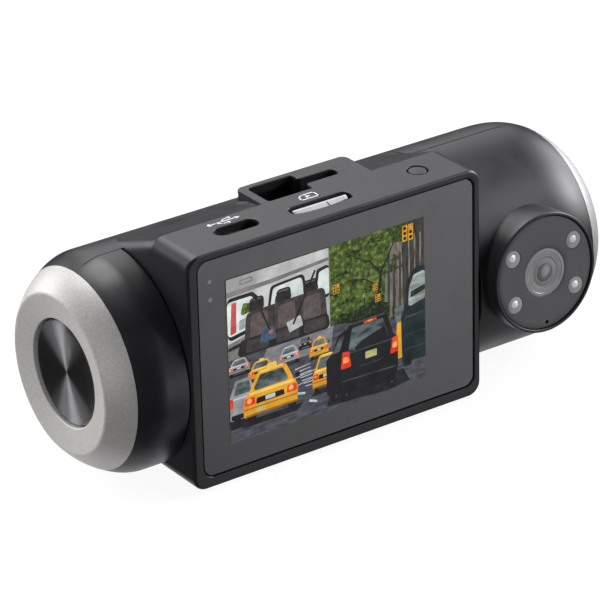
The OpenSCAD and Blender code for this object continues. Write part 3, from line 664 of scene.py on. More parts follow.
# ---- Left barrel ----
SEAM_EASE = 0.14
piece("left_barrel", [lathe(barrel_profile(LEFT_SEAM, LEFT_SEAM - LEFT_RING, -1), TUBE, 180.15, 359.85,
                            160, edge=SEAM_EASE)], BLACK, "housing", ["left_barrel_cover"])


# ---- Caps ----
def cap_profile(x0, sign):
    """The silver cap: a bulging band, a rounded edge and a dished face with the disc's hole."""
    face, inner = CAP_LEN - CAP_DISH, SHOULDER_R - WALL
    crease = (CAP_LEN - 0.12, CAP_FACE_R - 0.15)
    band = [(0.12 + (crease[0] - 0.12) * t, SHOULDER_R + (crease[1] - SHOULDER_R) * t
             + BAND_BULGE * math.sin(math.pi * t), 0) for t in (k / 12 for k in range(12))]
    at = [(0.0, SHOULDER_R - 0.12, 0)] + band + [
        (*crease, 0.9), (face, CAP_HOLE_R, 0.25), (face - 1.2, CAP_HOLE_R, 0),
        (CAP_LEN - 2, CAP_FACE_R - 1.4, 0), (-2.0, inner - 1.4, 0), (-2.0, inner - 0.1, 0),
        (0.0, inner - 0.1, 0)]
    return [(x0 + sign * s, r) for s, r in rounded_path(at, n=8)]


def disc_profile(x0, sign):
    """The spun disc, with a flange behind the cap's face that keeps it in."""
    front, flange = CAP_LEN - CAP_DISH - DISC_RECESS, DISC_R + DISC_FLANGE
    at = [(front, 0, 0), (front, DISC_R, 0.25), (front - 1.4, DISC_R, 0), (front - 1.4, flange, 0),
          (front - 2.1, flange, 0), (front - 2.1, 0, 0)]
    return [(x0 + sign * s, r) for s, r in rounded_path(at, n=6)]


for side, sign, x0, axis, cap_body, disc_body, disc_node in (
        ("left", -1, LEFT_RING, TUBE, "housing", "end_button", "end_button"),
        ("right", 1, RIGHT_RING, BARREL, "cabin_barrel", "cabin_barrel", "right_cap_disc")):
    piece(side + "_cap", [lathe(cap_profile(x0, sign), axis, n=256)], SILVER, cap_body,
          [side + "_cap_ring"], angle=40)
    piece(side + "_disc", [lathe(disc_profile(x0, sign), axis, n=256)], SPUN, disc_body, [disc_node],
          angle=40)

# ---- Turning barrel and its pod ----
right_profile = barrel_profile(RIGHT_SEAM, RIGHT_RING - RIGHT_SEAM, 1)
cabin_front = make_object("cabin_front", [lathe(right_profile, BARREL, 180.15, 359.85, 200, edge=SEAM_EASE)])
cut(cabin_front, [rod(POD, 8, 30, POD_R - 0.5, 128)])
rim_in, bore = POD_R - 0.6, POD_R - 1.4
rim_profile = rounded_path([(15.0, bore, 0), (FACE_SEAT, bore, 0), (FACE_SEAT, rim_in, 0),
                            (POD_REACH, rim_in, 0.16), (POD_REACH, POD_R, 0.26), (15.0, POD_R, 0)], n=6)
pod_wall = make_object("pod_wall", [lathe(dense(rim_profile, 2.0), POD, n=256)])
finish_piece(joined("cabin_barrel_front_skin", [cabin_front, pod_wall]), BLACK, "cabin_barrel",
             ["cabin_barrel_front"])
piece("cabin_barrel_rear_skin", [lathe(right_profile, BARREL, 0.15, 179.85, 200, edge=SEAM_EASE)], BLACK,
      "cabin_barrel", ["cabin_barrel_rear"])

face_r, face_back = POD_R - 0.65, FACE_SEAT + 0.02
face_profile = rounded_path([(face_back, LENS_WINDOW_R, 0), (FACE_TOP, LENS_WINDOW_R, 0.04),
                             (FACE_TOP, face_r, 0.15), (face_back, face_r, 0)], n=4)
face = make_object("face", [lathe(dense(face_profile, 1.2), POD, n=192)])
cut(face, [rod(pod_axis(x, z), 18, 24, LED_WINDOW_R) for x, z in LED_AT]
    + [rod(pod_axis(0, MICROPHONE["z"]), 18, 24, MICROPHONE["r"], 24)])
finish_piece(joined("pod_face_plate", [face]), FACE, "cabin_barrel", ["pod_face"])

# lens window with a stepped surround, and the lens behind it
window_low, window_r = FACE_TOP - 0.1, LENS_WINDOW_R - 0.01
groove = [(window_low, 2.35, 0), (window_low - 0.03, 2.42, 0), (window_low - 0.03, 2.72, 0),
          (window_low, 2.79, 0)]
window = rounded_path([(FACE_SEAT - 1.4, 0, 0), (window_low, 0, 0)] + groove + [
    (window_low, 3.75, 0), (FACE_TOP - 0.02, 3.85, 0), (FACE_TOP - 0.02, window_r, 0.04),
    (FACE_SEAT - 1.4, window_r, 0)], n=3)
piece("lens_window", [lathe(window, POD, n=128)], WINDOW, "cabin_barrel", ["cabin_lens_barrel"])
LENS_R, LENS_RISE = 1.75, 0.22
dome = [(FACE_TOP - 0.3, 0)] + [(window_low + LENS_RISE * (1 - (k / 8) ** 2), LENS_R * k / 8)
                                for k in range(9)] + [(FACE_TOP - 0.3, LENS_R)]
piece("cabin_lens", [lathe(dome, POD, n=96)], LENS, "cabin_barrel", ["cabin_lens_glass"])
ring_low, ring_top, ring_w = FACE_TOP - 0.12, FACE_TOP - 0.06, 0.14
ring_marks = [lathe([(ring_low, r), (ring_top, r), (ring_top, r + ring_w), (ring_low, r + ring_w)], POD,
                    n=96) for r in (1.8, 3.0, 3.55)]
piece("lens_window_rings", ring_marks, RING, "cabin_barrel")


def lamp(x, z):
    """An infrared lamp's clear body, level with the face."""
    front, r = FACE_TOP - 0.04, LED_WINDOW_R - 0.03
    return lathe(rounded_path([(15.5, 0, 0), (front, 0, 0), (front, r, 0.1), (15.5, r, 0)], n=4),
                 pod_axis(x, z), n=48)


def die(x, z):
    """The lamp's die as a faceted bead, a little up and to the left of its middle, made bright white as a
    painted glint.
    """
    r, rise, base = 0.72, 0.34, FACE_TOP - 0.1
    bead = [(FACE_TOP - 0.04 + rise * c, r * s) for c, s in quarter(6)]
    return lathe([(base, 0)] + bead + [(base, r)], pod_axis(x - 0.15, z + 0.2), n=8)


piece("infrared_lamps", [lamp(x, z) for x, z in LED_AT], SMOKED, "cabin_barrel", ["infrared_leds"])
# each lamp's die, its white bead a painted glint at the lamp's upper left
piece("infrared_dies_painted_glints", [die(x, z) for x, z in LED_AT], DIE_AND_GLINT, "cabin_barrel",
      angle=12)

# ---- Power button ----
button_top, collar_top, collar_low = BLOCK_TOP - 0.05, BLOCK_TOP - 1.9, BLOCK_TOP - 2.6
button_axis = upright(POWER["x"], POWER["y"])
button = rounded_path([(BLOCK_TOP - 2.0, 0, 0), (button_top, 0, 0), (button_top, POWER["r"], 0.15),
                       (BLOCK_TOP - 2.0, POWER["r"], 0)], n=5)
stem = [(BLOCK_TOP - 3.6, 0), (BLOCK_TOP - 3.6, 0.9), (collar_low, 0.9), (collar_low, 2.2),
        (collar_top, 2.2), (collar_top, 0)]
piece("power_cap", [lathe(button, button_axis, n=96), lathe(stem, button_axis, n=64)], BLACK,
      "power_button", ["power_button"])


# ---- Memory card ----
def card_grip():
    """The card's grip: a straight flat top over a front facet that bulges in the middle."""
    half, steps, top, y = 5.45, 24, BLOCK_TOP - 0.14, CARD["y"]
    back, low = y + 0.5, top - 1.9
    rings = []
    for i in range(steps + 1):
        u = -1 + 2 * i / steps
        x, front = CARD["x"] + half * u, y - 0.3 - 0.6 * (1 - u * u)
        crease = top - (0.35 if abs(u) < 1 else 0.5)
        rings.append([(x, front, low), (x, front, crease), (x, y + 0.05, top - 0.02), (x, back, top),
                      (x, back, low)])
    return loft(rings)


def card_body():
    half, thick, low, high = 5.5, 0.7, 9.4, 23.2
    corners = [(-half, low, 0.8), (half, low, 0.8), (half, high, 0.3), (-half, high, 0.3)]
    return front_prism(rounded_path([(CARD["x"] + x, z, r) for x, z, r in corners]),
                       CARD["y"] - thick / 2, CARD["y"] + thick / 2)


def card_tick():
    """A dark line across the grip, right of its middle."""
    x, half = CARD["x"] + 1.3, 0.11
    section = [(-0.89, -0.47), (0.05, -0.14), (0.2, -0.3), (-0.5, -1.1)]
    return loft([[(at, CARD["y"] + y, BLOCK_TOP + z) for y, z in section] for at in (x - half, x + half)])


piece("card", [card_body()], CARD_BODY, "memory_card", ["memory_card"])
piece("card_edge_grip", [card_grip()], CARD_MAT, "memory_card", angle=10)
piece("card_tick", [card_tick()], INNER_BLACK_AND_SHADE, "memory_card")

# ---- Screen ----
glass_rings = [xz_ring(glass_outline(-GLASS_ROUND * (1 - s)), GLASS_FRONT + GLASS_ROUND * (1 - c))
               for c, s in quarter(4)]
glass_rings.append(xz_ring(glass_outline(0), LEDGE_Y))
piece("cover_glass", [loft(glass_rings)], PANEL, "housing", ["screen_glass"])

PIX_W, PIX_H = PICTURE["w"], PICTURE["h"]
PIX_X0, PIX_Z0 = PICTURE["x"] - PIX_W / 2, PICTURE["z"] - PIX_H / 2
LAYER = 0.0007                                     # each painted patch lies this much nearer the eye
PATCH_T = 0.002
picture_parts = {}
picture_depth = [0]


def box2(u0, v0, u1, v1, r=0.0):
    if r:
        return rounded_rect((u0 + u1) / 2, (v0 + v1) / 2, u1 - u0, v1 - v0, r, 4)
    return [(u0, v0), (u1, v0), (u1, v1), (u0, v1)]


def disc2(u, v, r, n=20):
    return [(u + r * math.cos(2 * math.pi * k / n), v + r * math.sin(2 * math.pi * k / n)) for k in range(n)]


def paint(look, points, r=0.0, n=4):
    """Lays a patch on the picture: points as (right, up) in picture millimetres, corners rounded by r."""
    if r:
        points = rounded_path([(u, v, r) for u, v in points], n)
    inside = [(min(max(u, 0), PIX_W), min(max(v, 0), PIX_H)) for u, v in points]
    picture_depth[0] += 1
    front = GLASS_FRONT - LAYER * picture_depth[0]
    patch = front_prism([(PIX_X0 + u, PIX_Z0 + v) for u, v in inside], front - PATCH_T, front + PATCH_T)
    picture_parts.setdefault(look.name, (look, []))[1].append(patch)


def painter(u0, v0, w=1.0, h=1.0):
    """Paints patches whose points and rounding are given in a frame of size w by h at (u0, v0)."""
    def part(look, points, r=0.0):
        paint(look, [(u0 + u * w, v0 + v * h) for u, v in points], r * w)
    return part


def limb(look, points, w0, w1):
    """A branch or pole along points, narrowing from w0 to w1."""
    count = len(points) - 1
    for i in range(count):
        a, b = Vector(points[i]), Vector(points[i + 1])
        side = Vector((-(b - a).y, (b - a).x)).normalized() / 2
        start, end = (side * (w0 + (w1 - w0) * k / count) for k in (i, i + 1))
        paint(look, [tuple(corner) for corner in (a - start, b - end, b + end, a + start)])


GREEN_LIT = glow("leaves_lit", (0.012, 0.025, 0.005), (0.20, 0.27, 0.06), 1300, detail=8,
                 mid=(0.06, 0.10, 0.015))
GREEN_MID = glow("leaves_mid", (0.008, 0.018, 0.004), (0.11, 0.17, 0.03), 1500, detail=8,
                 mid=(0.03, 0.06, 0.01))
GREEN_DARK = glow("leaves_dark", (0.003, 0.006, 0.002), (0.05, 0.08, 0.018), 1500, detail=8,
                  mid=(0.01, 0.02, 0.005))
STONE = glow("stone", (0.07, 0.062, 0.05), (0.24, 0.22, 0.19), 700, stretch=(3, 1, 0.5))
STONE_DARK = glow("stone_dark", (0.018, 0.016, 0.013), (0.065, 0.06, 0.05), 700, stretch=(3, 1, 0.5))
BARK = glow("bark", (0.008, 0.007, 0.005), (0.022, 0.018, 0.013), 900)
ROADWAY = glow("roadway", (0.036, 0.038, 0.048), (0.095, 0.098, 0.118), 350, stretch=(1, 1, 4))
ROAD_FAR = glow("road_far", (0.14, 0.145, 0.16), (0.24, 0.245, 0.26), 350, stretch=(1, 1, 4))
SHADE = glow("road_shade", (0.008, 0.008, 0.011), (0.022, 0.022, 0.028), 400)
LINE = glow("road_line", (0.42, 0.43, 0.46), (0.62, 0.63, 0.66), 800)
TAXI = glow("taxi_yellow", (0.62, 0.27, 0.012), (0.80, 0.40, 0.03), 300)
TAXI_LIT = glow("taxi_lit", (0.80, 0.46, 0.06), (0.95, 0.62, 0.14), 300)
TAXI_SHADE = glow("taxi_shade", (0.22, 0.10, 0.008), (0.36, 0.16, 0.015), 300)
CAR_DARK = glow("car_dark", (0.005, 0.005, 0.007), (0.014, 0.014, 0.018), 300)
CAR_SHEEN = glow("car_sheen", (0.022, 0.024, 0.03), (0.06, 0.064, 0.075), 300, stretch=(1, 1, 5))
CAR_GLASS = glow("car_glass", (0.02, 0.028, 0.03), (0.15, 0.19, 0.19), 320, stretch=(1, 1, 2))
PALE_GLASS = glow("pale_glass", (0.16, 0.18, 0.18), (0.42, 0.46, 0.46), 260, stretch=(1, 1, 3))
CAR_GREY = glow("car_grey", (0.20, 0.20, 0.21), (0.42, 0.42, 0.44), 300)
CAR_WHITE = glow("car_white", (0.42, 0.42, 0.44), (0.70, 0.70, 0.72), 300)
VAN_GREEN = glow("van_green", (0.004, 0.012, 0.012), (0.014, 0.03, 0.03), 300)
LAMP_RED = glow("lamp_red", (0.55, 0.02, 0.008), (0.85, 0.07, 0.02), 500)
LAMP_HOT = glow("lamp_hot", (0.95, 0.25, 0.05), (1.0, 0.55, 0.18), 500)
AMBER = glow("amber", (0.42, 0.19, 0.008), (0.72, 0.36, 0.02), 700)
PLATE = glow("plate", (0.35, 0.36, 0.12), (0.5, 0.5, 0.22), 800)
LINING = glow("cabin_lining", (0.32, 0.32, 0.33), (0.62, 0.61, 0.61), 160)
LINING_SHADE = glow("cabin_lining_shade", (0.14, 0.135, 0.13), (0.24, 0.235, 0.23), 250)
OUTSIDE = glow("cabin_outside", (0.42, 0.50, 0.47), (0.80, 0.86, 0.84), 260)
CLOTH = glow("cabin_cloth", (0.030, 0.026, 0.026), (0.065, 0.056, 0.054), 700)
CLOTH_LIT = glow("cabin_cloth_lit", (0.075, 0.06, 0.056), (0.13, 0.105, 0.10), 700)
LEATHER = glow("cabin_leather", (0.010, 0.009, 0.010), (0.026, 0.023, 0.024), 500)
DENIM = glow("cabin_blue", (0.03, 0.06, 0.10), (0.07, 0.12, 0.19), 900)
SIGN_RED = glow("sign_red", (0.45, 0.05, 0.05), (0.65, 0.12, 0.10), 400)


def saloon_from_behind(u, v, w, h, body, lit, dark, sign=True):
    """A saloon car seen from behind and a little from its left; v is where its tyres stand."""
    part = painter(u, v, w, h)
    part(SHADE, [(-0.55, -0.02), (0.5, -0.02), (0.62, 0.10), (-0.4, 0.10)])
    for x in (-0.42, 0.33):
        part(CAR_DARK, [(x, 0.0), (x + 0.15, 0.0), (x + 0.15, 0.26), (x, 0.26)], 0.03)
    part(body, [(-0.5, 0.16), (0.5, 0.16), (0.52, 0.44), (0.46, 0.62), (-0.42, 0.62), (-0.5, 0.44)], 0.04)
    part(body, [(-0.42, 0.58), (0.46, 0.58), (0.3, 0.96), (-0.22, 0.96)], 0.06)
    part(CAR_GLASS, [(-0.33, 0.63), (0.36, 0.63), (0.24, 0.9), (-0.18, 0.9)], 0.04)
    part(lit, [(-0.40, 0.56), (0.44, 0.56), (0.42, 0.61), (-0.38, 0.61)], 0.01)
    part(lit, [(-0.18, 0.93), (0.26, 0.93), (0.24, 0.97), (-0.16, 0.97)], 0.01)
    part(CAR_DARK, [(-0.27, 0.37), (0.27, 0.37), (0.25, 0.48), (-0.25, 0.48)], 0.02)
    part(CAR_WHITE, [(-0.09, 0.39), (0.09, 0.39), (0.09, 0.47), (-0.09, 0.47)], 0.01)
    part(dark, [(-0.5, 0.3), (0.51, 0.3), (0.51, 0.32), (-0.5, 0.32)])
    part(dark, [(-0.46, 0.16), (0.48, 0.16), (0.49, 0.2), (-0.47, 0.2)])
    for x in (-0.48, 0.3):
        part(LAMP_RED, [(x, 0.38), (x + 0.2, 0.38), (x + 0.19, 0.52), (x + 0.02, 0.52)], 0.02)
        paint(LAMP_HOT, disc2(u + (x + 0.09) * w, v + 0.46 * h, 0.045 * w, 12))
    if sign:
        part(lit, [(-0.06, 0.97), (0.14, 0.97), (0.12, 1.06), (-0.04, 1.06)], 0.015)
    part(CAR_DARK, [(0.47, 0.62), (0.56, 0.62), (0.56, 0.71), (0.47, 0.71)], 0.02)


def leafy(u, v, r, seed):
    """The ragged outline of a clump of leaves."""
    out = []
    for i in range(18):
        turn = 2 * math.pi * i / 18
        reach = r * (0.75 + 0.3 * math.sin(3 * turn + seed) + 0.25 * math.sin(7 * turn + 2.1 * seed))
        out.append((u + 1.5 * reach * math.cos(turn), v + 0.75 * reach * math.sin(turn)))
    return out


def signal_head(u, v, k):
    """A pair of hanging traffic lights."""
    for x in (-0.55, 0.45):
        paint(AMBER, [(u + (x - 0.42) * k, v - 1.2 * k), (u + (x + 0.42) * k, v - 1.2 * k),
                      (u + (x + 0.42) * k, v + 1.2 * k), (u + (x - 0.42) * k, v + 1.2 * k)], 0.1 * k)
        for y in (-0.75, 0.0, 0.75):
            paint(CAR_DARK, disc2(u + x * k, v + y * k, 0.26 * k, 12))
    paint(LAMP_HOT, disc2(u + 0.45 * k, v + 0.75 * k, 0.2 * k, 12))


def street():
    """The road camera's picture: a street below trees, with traffic."""
    paint(GREEN_MID, box2(0, 0, PIX_W, PIX_H))
    paint(GREEN_LIT, [(16, 17.5), (26, 16.5), (33, 20.5), (35.5, 25), (33, 30.6), (14, 30.6)], 2.0)
    for k in range(46):
        u, v = 21.5 + (k * 7.31) % 13.5, 16.0 + (k * 4.37) % 14.2
        r = 0.35 + 0.6 * ((k * 0.618) % 1)
        paint(GREEN_DARK if k % 2 else GREEN_MID, leafy(u, v, r, k))
    paint(STONE, [(32.2, 14), (36.6, 13), (37.0, 27.2), (33.6, 27.6), (32.6, 22)])
    paint(STONE_DARK, [(36.4, 13), (40.8, 13), (40.8, 30.6), (36.0, 30.6)])
    for u in (33.0, 34.2, 35.4):
        paint(STONE_DARK, [(u, 14), (u + 0.45, 14), (u + 0.5, 25.4), (u + 0.05, 25.4)])
    for u in (37.4, 38.6, 39.8):
        paint(STONE, [(u, 17), (u + 0.35, 17), (u + 0.35, 28), (u, 28)])
    paint(STONE_DARK, [(32.0, 22.2), (36.8, 22.6), (36.8, 23.0), (32.0, 22.6)])
    paint(GREEN_DARK, [(22, 13.5), (33, 13.2), (33.4, 16.6), (30, 18.0), (25.5, 17.0), (22.6, 17.6)], 0.8)
    for points, w0, w1 in (([(31.4, 13.0), (31.2, 18.5), (31.7, 23.2)], 0.75, 0.5),
                           ([(31.7, 23.0), (33.6, 26.2), (35.6, 30.4)], 0.42, 0.18),
                           ([(31.6, 22.6), (29.4, 25.4), (26.4, 27.0)], 0.38, 0.14),
                           ([(31.4, 20.0), (28.4, 22.4), (24.8, 23.2)], 0.3, 0.12),
                           ([(25.4, 13.2), (25.5, 17.6)], 0.3, 0.2),
                           ([(34.2, 13.2), (34.3, 21.0)], 0.3, 0.2),
                           ([(28.2, 13.2), (28.1, 19.0)], 0.22, 0.16)):
        limb(BARK, points, w0, w1)
    for k in range(16):
        clump = leafy(31.6 + (k * 3.17) % 6.5, 19.5 + (k * 5.1) % 10.5, 0.4 + 0.4 * ((k * 0.618) % 1), k + 3)
        paint((GREEN_LIT, GREEN_MID)[k % 2], clump)
    for u, v, k in ((22.3, 22.4, 0.75), (30.4, 20.4, 0.55), (30.9, 18.2, 0.6), (37.4, 28.6, 1.25)):
        signal_head(u, v, k)
    paint(ROADWAY, [(0, 0), (PIX_W, 0), (PIX_W, 11.0), (33, 13.6), (22, 15.8), (0, 15.8)])
    paint(ROAD_FAR, [(6, 12.2), (21, 11.8), (21.5, 15.8), (8, 15.8)])
    paint(ROADWAY, [(13.5, 2.0), (21, 1.4), (21.5, 4.8), (13.8, 5.6)], 1.2)
    for k in range(7):
        limb(LINE, [(13.4 + k * 0.35, 9.9 - k * 0.62), (16.6 + k * 0.1, 10.2 - k * 0.68)], 0.16, 0.12)
    limb(LINE, [(13.2, 5.4), (15.4, 4.9)], 0.5, 0.4)
    limb(LINE, [(16.2, 3.2), (17.8, 2.6)], 0.45, 0.4)
    limb(LINE, [(12.6, 8.2), (18.2, 8.8)], 0.14, 0.1)
    limb(LINE, [(12.8, 6.6), (17.6, 7.4)], 0.14, 0.1)
    # traffic further off: where each car stands, its size and its looks
    yellow, grey, black = ((TAXI, TAXI_LIT, TAXI_SHADE), (CAR_GREY, CAR_WHITE, CAR_DARK),
                           (CAR_DARK, CAR_GREY, CAR_DARK))
    for place, looks in (((12.2, 11.2, 4.2, 3.6), grey), ((15.6, 13.2, 2.6, 2.2), black),
                         ((18.4, 10.6, 3.9, 3.9), yellow), ((6.4, 10.2, 5.2, 3.8), yellow),
                         ((2.0, 12.4, 4.4, 3.2), grey)):
        saloon_from_behind(*place, *looks, sign=looks is yellow)
    # grey car at the left edge, cut by the frame and by the taxi before it
    paint(SHADE, [(0, 2.6), (4, 2.6), (4, 4.4), (0, 4.4)])
    paint(CAR_GREY, [(0, 4.2), (5, 4.2), (5, 9.0), (4.2, 11.6), (1.2, 11.6), (0, 8.6)], 0.4)
    paint(CAR_GLASS, [(0.8, 8.8), (4.4, 8.8), (4.0, 11.0), (1.6, 11.0)], 0.3)
    paint(CAR_WHITE, box2(0, 8.0, 4.4, 8.3))
    paint(LAMP_RED, [(0.0, 6.6), (0.7, 6.6), (0.6, 8.4), (0.0, 8.4)], 0.1)
    paint(CAR_DARK, box2(0.2, 4.3, 3.2, 5.2, 0.2))
    paint(CAR_DARK, disc2(1.4, 3.9, 0.8))
    saloon_from_behind(8.2, 2.4, 11.0, 9.9, *yellow)
    paint(PLATE, box2(5.3, 4.5, 7.1, 5.3, 0.1))
    # taxi half hidden by the large car
    saloon_from_behind(19.6, 3.9, 5.4, 7.4, *yellow, sign=False)
    # at the right edge: a yellow cab's side and a tall dark van
    paint(TAXI, [(34.4, 5.4), (36.4, 5.4), (36.4, 13.8), (34.8, 13.2)], 0.4)
    paint(CAR_GLASS, [(34.6, 12.2), (36.2, 12.4), (36.2, 15.6), (34.2, 15.2)], 0.3)
    paint(VAN_GREEN, [(35.8, 4.4), (40.8, 4.0), (40.8, 21.8), (38.6, 21.6), (37.2, 19.8), (36.6, 15.0),
                      (35.6, 13.2)], 0.5)
    paint(PALE_GLASS, [(37.2, 14.6), (40.8, 15.4), (40.8, 20.8), (38.4, 20.4), (37.4, 18.2)], 0.5)
    paint(GREEN_DARK, [(37.6, 16.2), (40.8, 17.0), (40.8, 18.0), (37.8, 17.4)], 0.2)
    paint(CAR_DARK, box2(36.0, 3.4, 37.8, 5.2, 0.5))
    paint(CAR_SHEEN, box2(36.6, 12.6, 40.8, 13.0))
    for v in (6.6, 9.4):
        paint(CAR_SHEEN, box2(36.4, v, 40.8, v + 0.15))
    # large dark car, seen from behind and from its left
    paint(SHADE, [(19.8, 0.9), (33.0, 0.0), (37.4, 0.6), (36.0, 3.2), (20.6, 4.0)])
    for u, v in ((20.9, 1.3), (23.0, 0.9), (32.6, 0.5)):
        paint(CAR_DARK, rounded_rect(u + 0.6, v + 1.9, 1.8, 3.8, 0.7, 5))
        paint(CAR_SHEEN, rounded_rect(u + 0.9, v + 1.9, 0.5, 2.6, 0.2, 4))
    paint(CAR_DARK, [(19.8, 3.0), (24.4, 2.0), (24.6, 14.4), (22.4, 13.6), (21.2, 10.8), (19.8, 9.6)], 0.5)
    paint(CAR_GLASS, [(21.0, 10.4), (22.6, 10.6), (23.8, 13.4), (22.8, 13.2)], 0.15)
    paint(CAR_DARK, [(22.6, 2.2), (34.2, 1.6), (34.9, 4.4), (34.9, 9.8), (34.0, 10.6), (32.6, 14.9),
                     (24.6, 14.9), (23.0, 10.6), (22.4, 9.8)], 0.7, 6)
    paint(CAR_GLASS, [(24.4, 9.9), (33.0, 9.9), (31.9, 14.2), (25.3, 14.2)], 0.5)
    paint(CAR_DARK, [(24.9, 9.9), (33.0, 9.9), (32.2, 12.6), (27.6, 11.4)], 0.3)
    paint(CAR_SHEEN, [(23.4, 9.5), (33.8, 9.5), (33.6, 9.75), (23.6, 9.75)], 0.08)
    paint(CAR_SHEEN, [(25.0, 14.75), (32.4, 14.75), (32.0, 15.15), (25.4, 15.15)], 0.1)
    paint(CAR_SHEEN, [(23.0, 4.5), (34.4, 4.1), (34.4, 4.4), (23.0, 4.8)], 0.08)
    paint(CAR_SHEEN, [(26.8, 6.4), (31.8, 6.4), (31.6, 6.6), (27.0, 6.6)], 0.05)
    paint(PLATE, rounded_rect(29.2, 8.2, 2.4, 1.3, 0.1, 4))
    paint(LAMP_RED, [(22.8, 7.0), (25.0, 7.0), (24.6, 10.0), (23.2, 10.2)], 0.3)
    paint(LAMP_HOT, [(23.2, 8.0), (24.6, 8.0), (24.4, 9.0), (23.4, 9.2)], 0.3)
    paint(LAMP_RED, [(33.2, 6.8), (35.0, 7.0), (34.8, 10.0), (33.7, 9.8)], 0.3)
    paint(LAMP_HOT, [(33.7, 7.8), (34.7, 7.9), (34.6, 8.9), (33.8, 8.8)], 0.25)
    paint(LAMP_RED, [(27.6, 14.3), (30.6, 14.3), (30.3, 14.75), (27.9, 14.75)], 0.1)
    paint(LAMP_HOT, [(28.5, 14.4), (29.7, 14.4), (29.5, 14.7), (28.7, 14.7)], 0.08)


def cabin_inset():
    """The cabin camera's picture, inset at the upper left: an empty bench between bright windows."""
    w, v0 = 20.8, PIX_H - 14.9
    part = painter(0, v0)
    paint(LINING, box2(0, v0, w, PIX_H))
    part(LINING_SHADE, [(0, 11.6), (9, 11.8), (w, 12.6), (w, 13.2), (9, 12.6), (0, 12.6)], 0.2)
    part(LINING_SHADE, [(2.4, 13.2), (5.4, 13.3), (5.2, 14.3), (2.6, 14.2)], 0.4)
    part(LINING, [(2.8, 13.5), (5.0, 13.6), (4.9, 14.0), (3.0, 13.9)], 0.2)
    # left window with what is outside it
    part(LEATHER, [(0, 3.4), (5.6, 4.4), (7.0, 9.4), (5.2, 11.4), (0, 11.4)], 0.9)
    part(OUTSIDE, [(0, 4.2), (5.0, 5.0), (6.3, 9.2), (4.8, 10.7), (0, 10.7)], 0.7)
    part(SIGN_RED, [(0.5, 4.6), (1.7, 4.8), (1.9, 10.4), (0.9, 10.4)], 0.2)
    part(GREEN_LIT, [(2.6, 7.6), (4.6, 7.8), (5.0, 9.4), (3.2, 9.8)], 0.4)
    part(PALE_GLASS, [(2.2, 5.0), (4.6, 5.3), (4.8, 7.2), (2.4, 6.8)], 0.3)
    # rear window and right window
    part(LEATHER, [(8.0, 6.8), (16.4, 7.2), (15.6, 11.7), (8.8, 11.3)], 0.9)
    part(OUTSIDE, [(8.6, 7.2), (15.8, 7.6), (15.1, 11.2), (9.3, 10.8)], 0.7)
    part(GREEN_MID, [(9.4, 7.6), (12.0, 7.6), (11.6, 9.6), (9.8, 9.2)], 0.5)
    part(LEATHER, [(17.4, 6.2), (w, 5.8), (w, 12.0), (18.2, 11.6)], 0.7)
    part(OUTSIDE, [(18.0, 6.8), (w, 6.4), (w, 11.4), (18.7, 11.0)], 0.5)
    # door, bench and its backrest
    part(LINING_SHADE, [(0, 0), (4.2, 0), (4.6, 4.0), (0, 3.0)], 0.3)
    part(LEATHER, [(0, 1.6), (3.4, 2.2), (3.2, 2.8), (0, 2.3)], 0.2)
    for u, lean in ((5.8, 0.2), (11.4, 0.0), (17.0, -0.2)):
        part(LEATHER, [(u - 1.6, 7.6), (u + 1.6, 7.6), (u + 1.4 + lean, 10.2), (u - 1.4 + lean, 10.2)], 0.7)
        part(CLOTH_LIT, [(u - 1.1, 9.6), (u + 1.1, 9.6), (u + 1.0 + lean, 9.95),
                         (u - 1.0 + lean, 9.95)], 0.15)
    part(CLOTH, [(3.0, 0), (20.4, 0), (19.8, 8.0), (3.8, 7.8)], 1.1)
    for u in (4.4, 10.0, 15.2):
        part(CLOTH_LIT, [(u, 2.8), (u + 3.8, 2.8), (u + 3.6, 7.3), (u + 0.3, 7.2)], 0.8)
    for u in (9.3, 14.7):
        part(LEATHER, [(u - 0.1, 0), (u + 0.1, 0), (u + 0.1, 7.6), (u - 0.1, 7.6)])
    part(LEATHER, [(1.6, 0), (w, 0), (20.4, 2.9), (2.6, 3.1)], 0.8)
    for u in (3.4, 9.6, 15.2):
        part(CLOTH, [(u, 0.4), (u + 4.8, 0.4), (u + 4.6, 2.5), (u + 0.3, 2.6)], 0.6)
    part(DENIM, [(6.2, 1.2), (9.8, 1.5), (9.2, 4.0), (6.9, 3.7)], 0.4)
    part(CAR_WHITE, [(12.4, 1.6), (15.2, 2.2), (14.7, 4.2), (11.8, 3.6)], 0.2)
    limb(LEATHER, [(17.9, v0 + 11.6), (13.2, v0 + 2.9)], 0.42, 0.42)
    limb(LEATHER, [(5.4, v0 + 10.9), (8.6, v0 + 2.9)], 0.38, 0.38)
    paint(SIGN_RED, box2(8.3, v0 + 2.6, 9.0, v0 + 3.3, 0.1))
    # edge of the inset
    paint(LINING_SHADE, box2(w - 0.1, v0, w + 0.04, PIX_H))


street()
cabin_inset()
picture_objects = [piece(f"picture_{material.name}", plates, material, "housing")
                   for material, plates in picture_parts.values()]
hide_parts("display_panel")

DOTS = plastic("status_dot", (0.21, 0.21, 0.215), 0.3, bump=0.02)
piece("status_dots", [front_prism(disc2(STATUS_DOTS["x"], z, STATUS_DOTS["r"], 24), GLASS_FRONT - 0.01,
                                  GLASS_FRONT + 0.4) for z in STATUS_DOTS["z"]],
      DOTS, "housing", ["status_light_guides"])


# ---- Printed pictograms on the top face ----
def flat_top(points, thick=0.012):
    return up_prism(points, BLOCK_TOP - 0.05, BLOCK_TOP + thick)


def stroke(points, width, closed=False):
    """Plates along a line of points."""
    parts = []
    count = len(points)
    for i in range(count if closed else count - 1):
        a, b = Vector(points[i]), Vector(points[(i + 1) % count])
        t = (b - a).normalized()
        n = Vector((-t.y, t.x)) * (width / 2)
        e = t * (width / 2)
        parts.append(flat_top([tuple(a - e - n), tuple(b + e - n), tuple(b + e + n), tuple(a - e + n)]))
    return parts


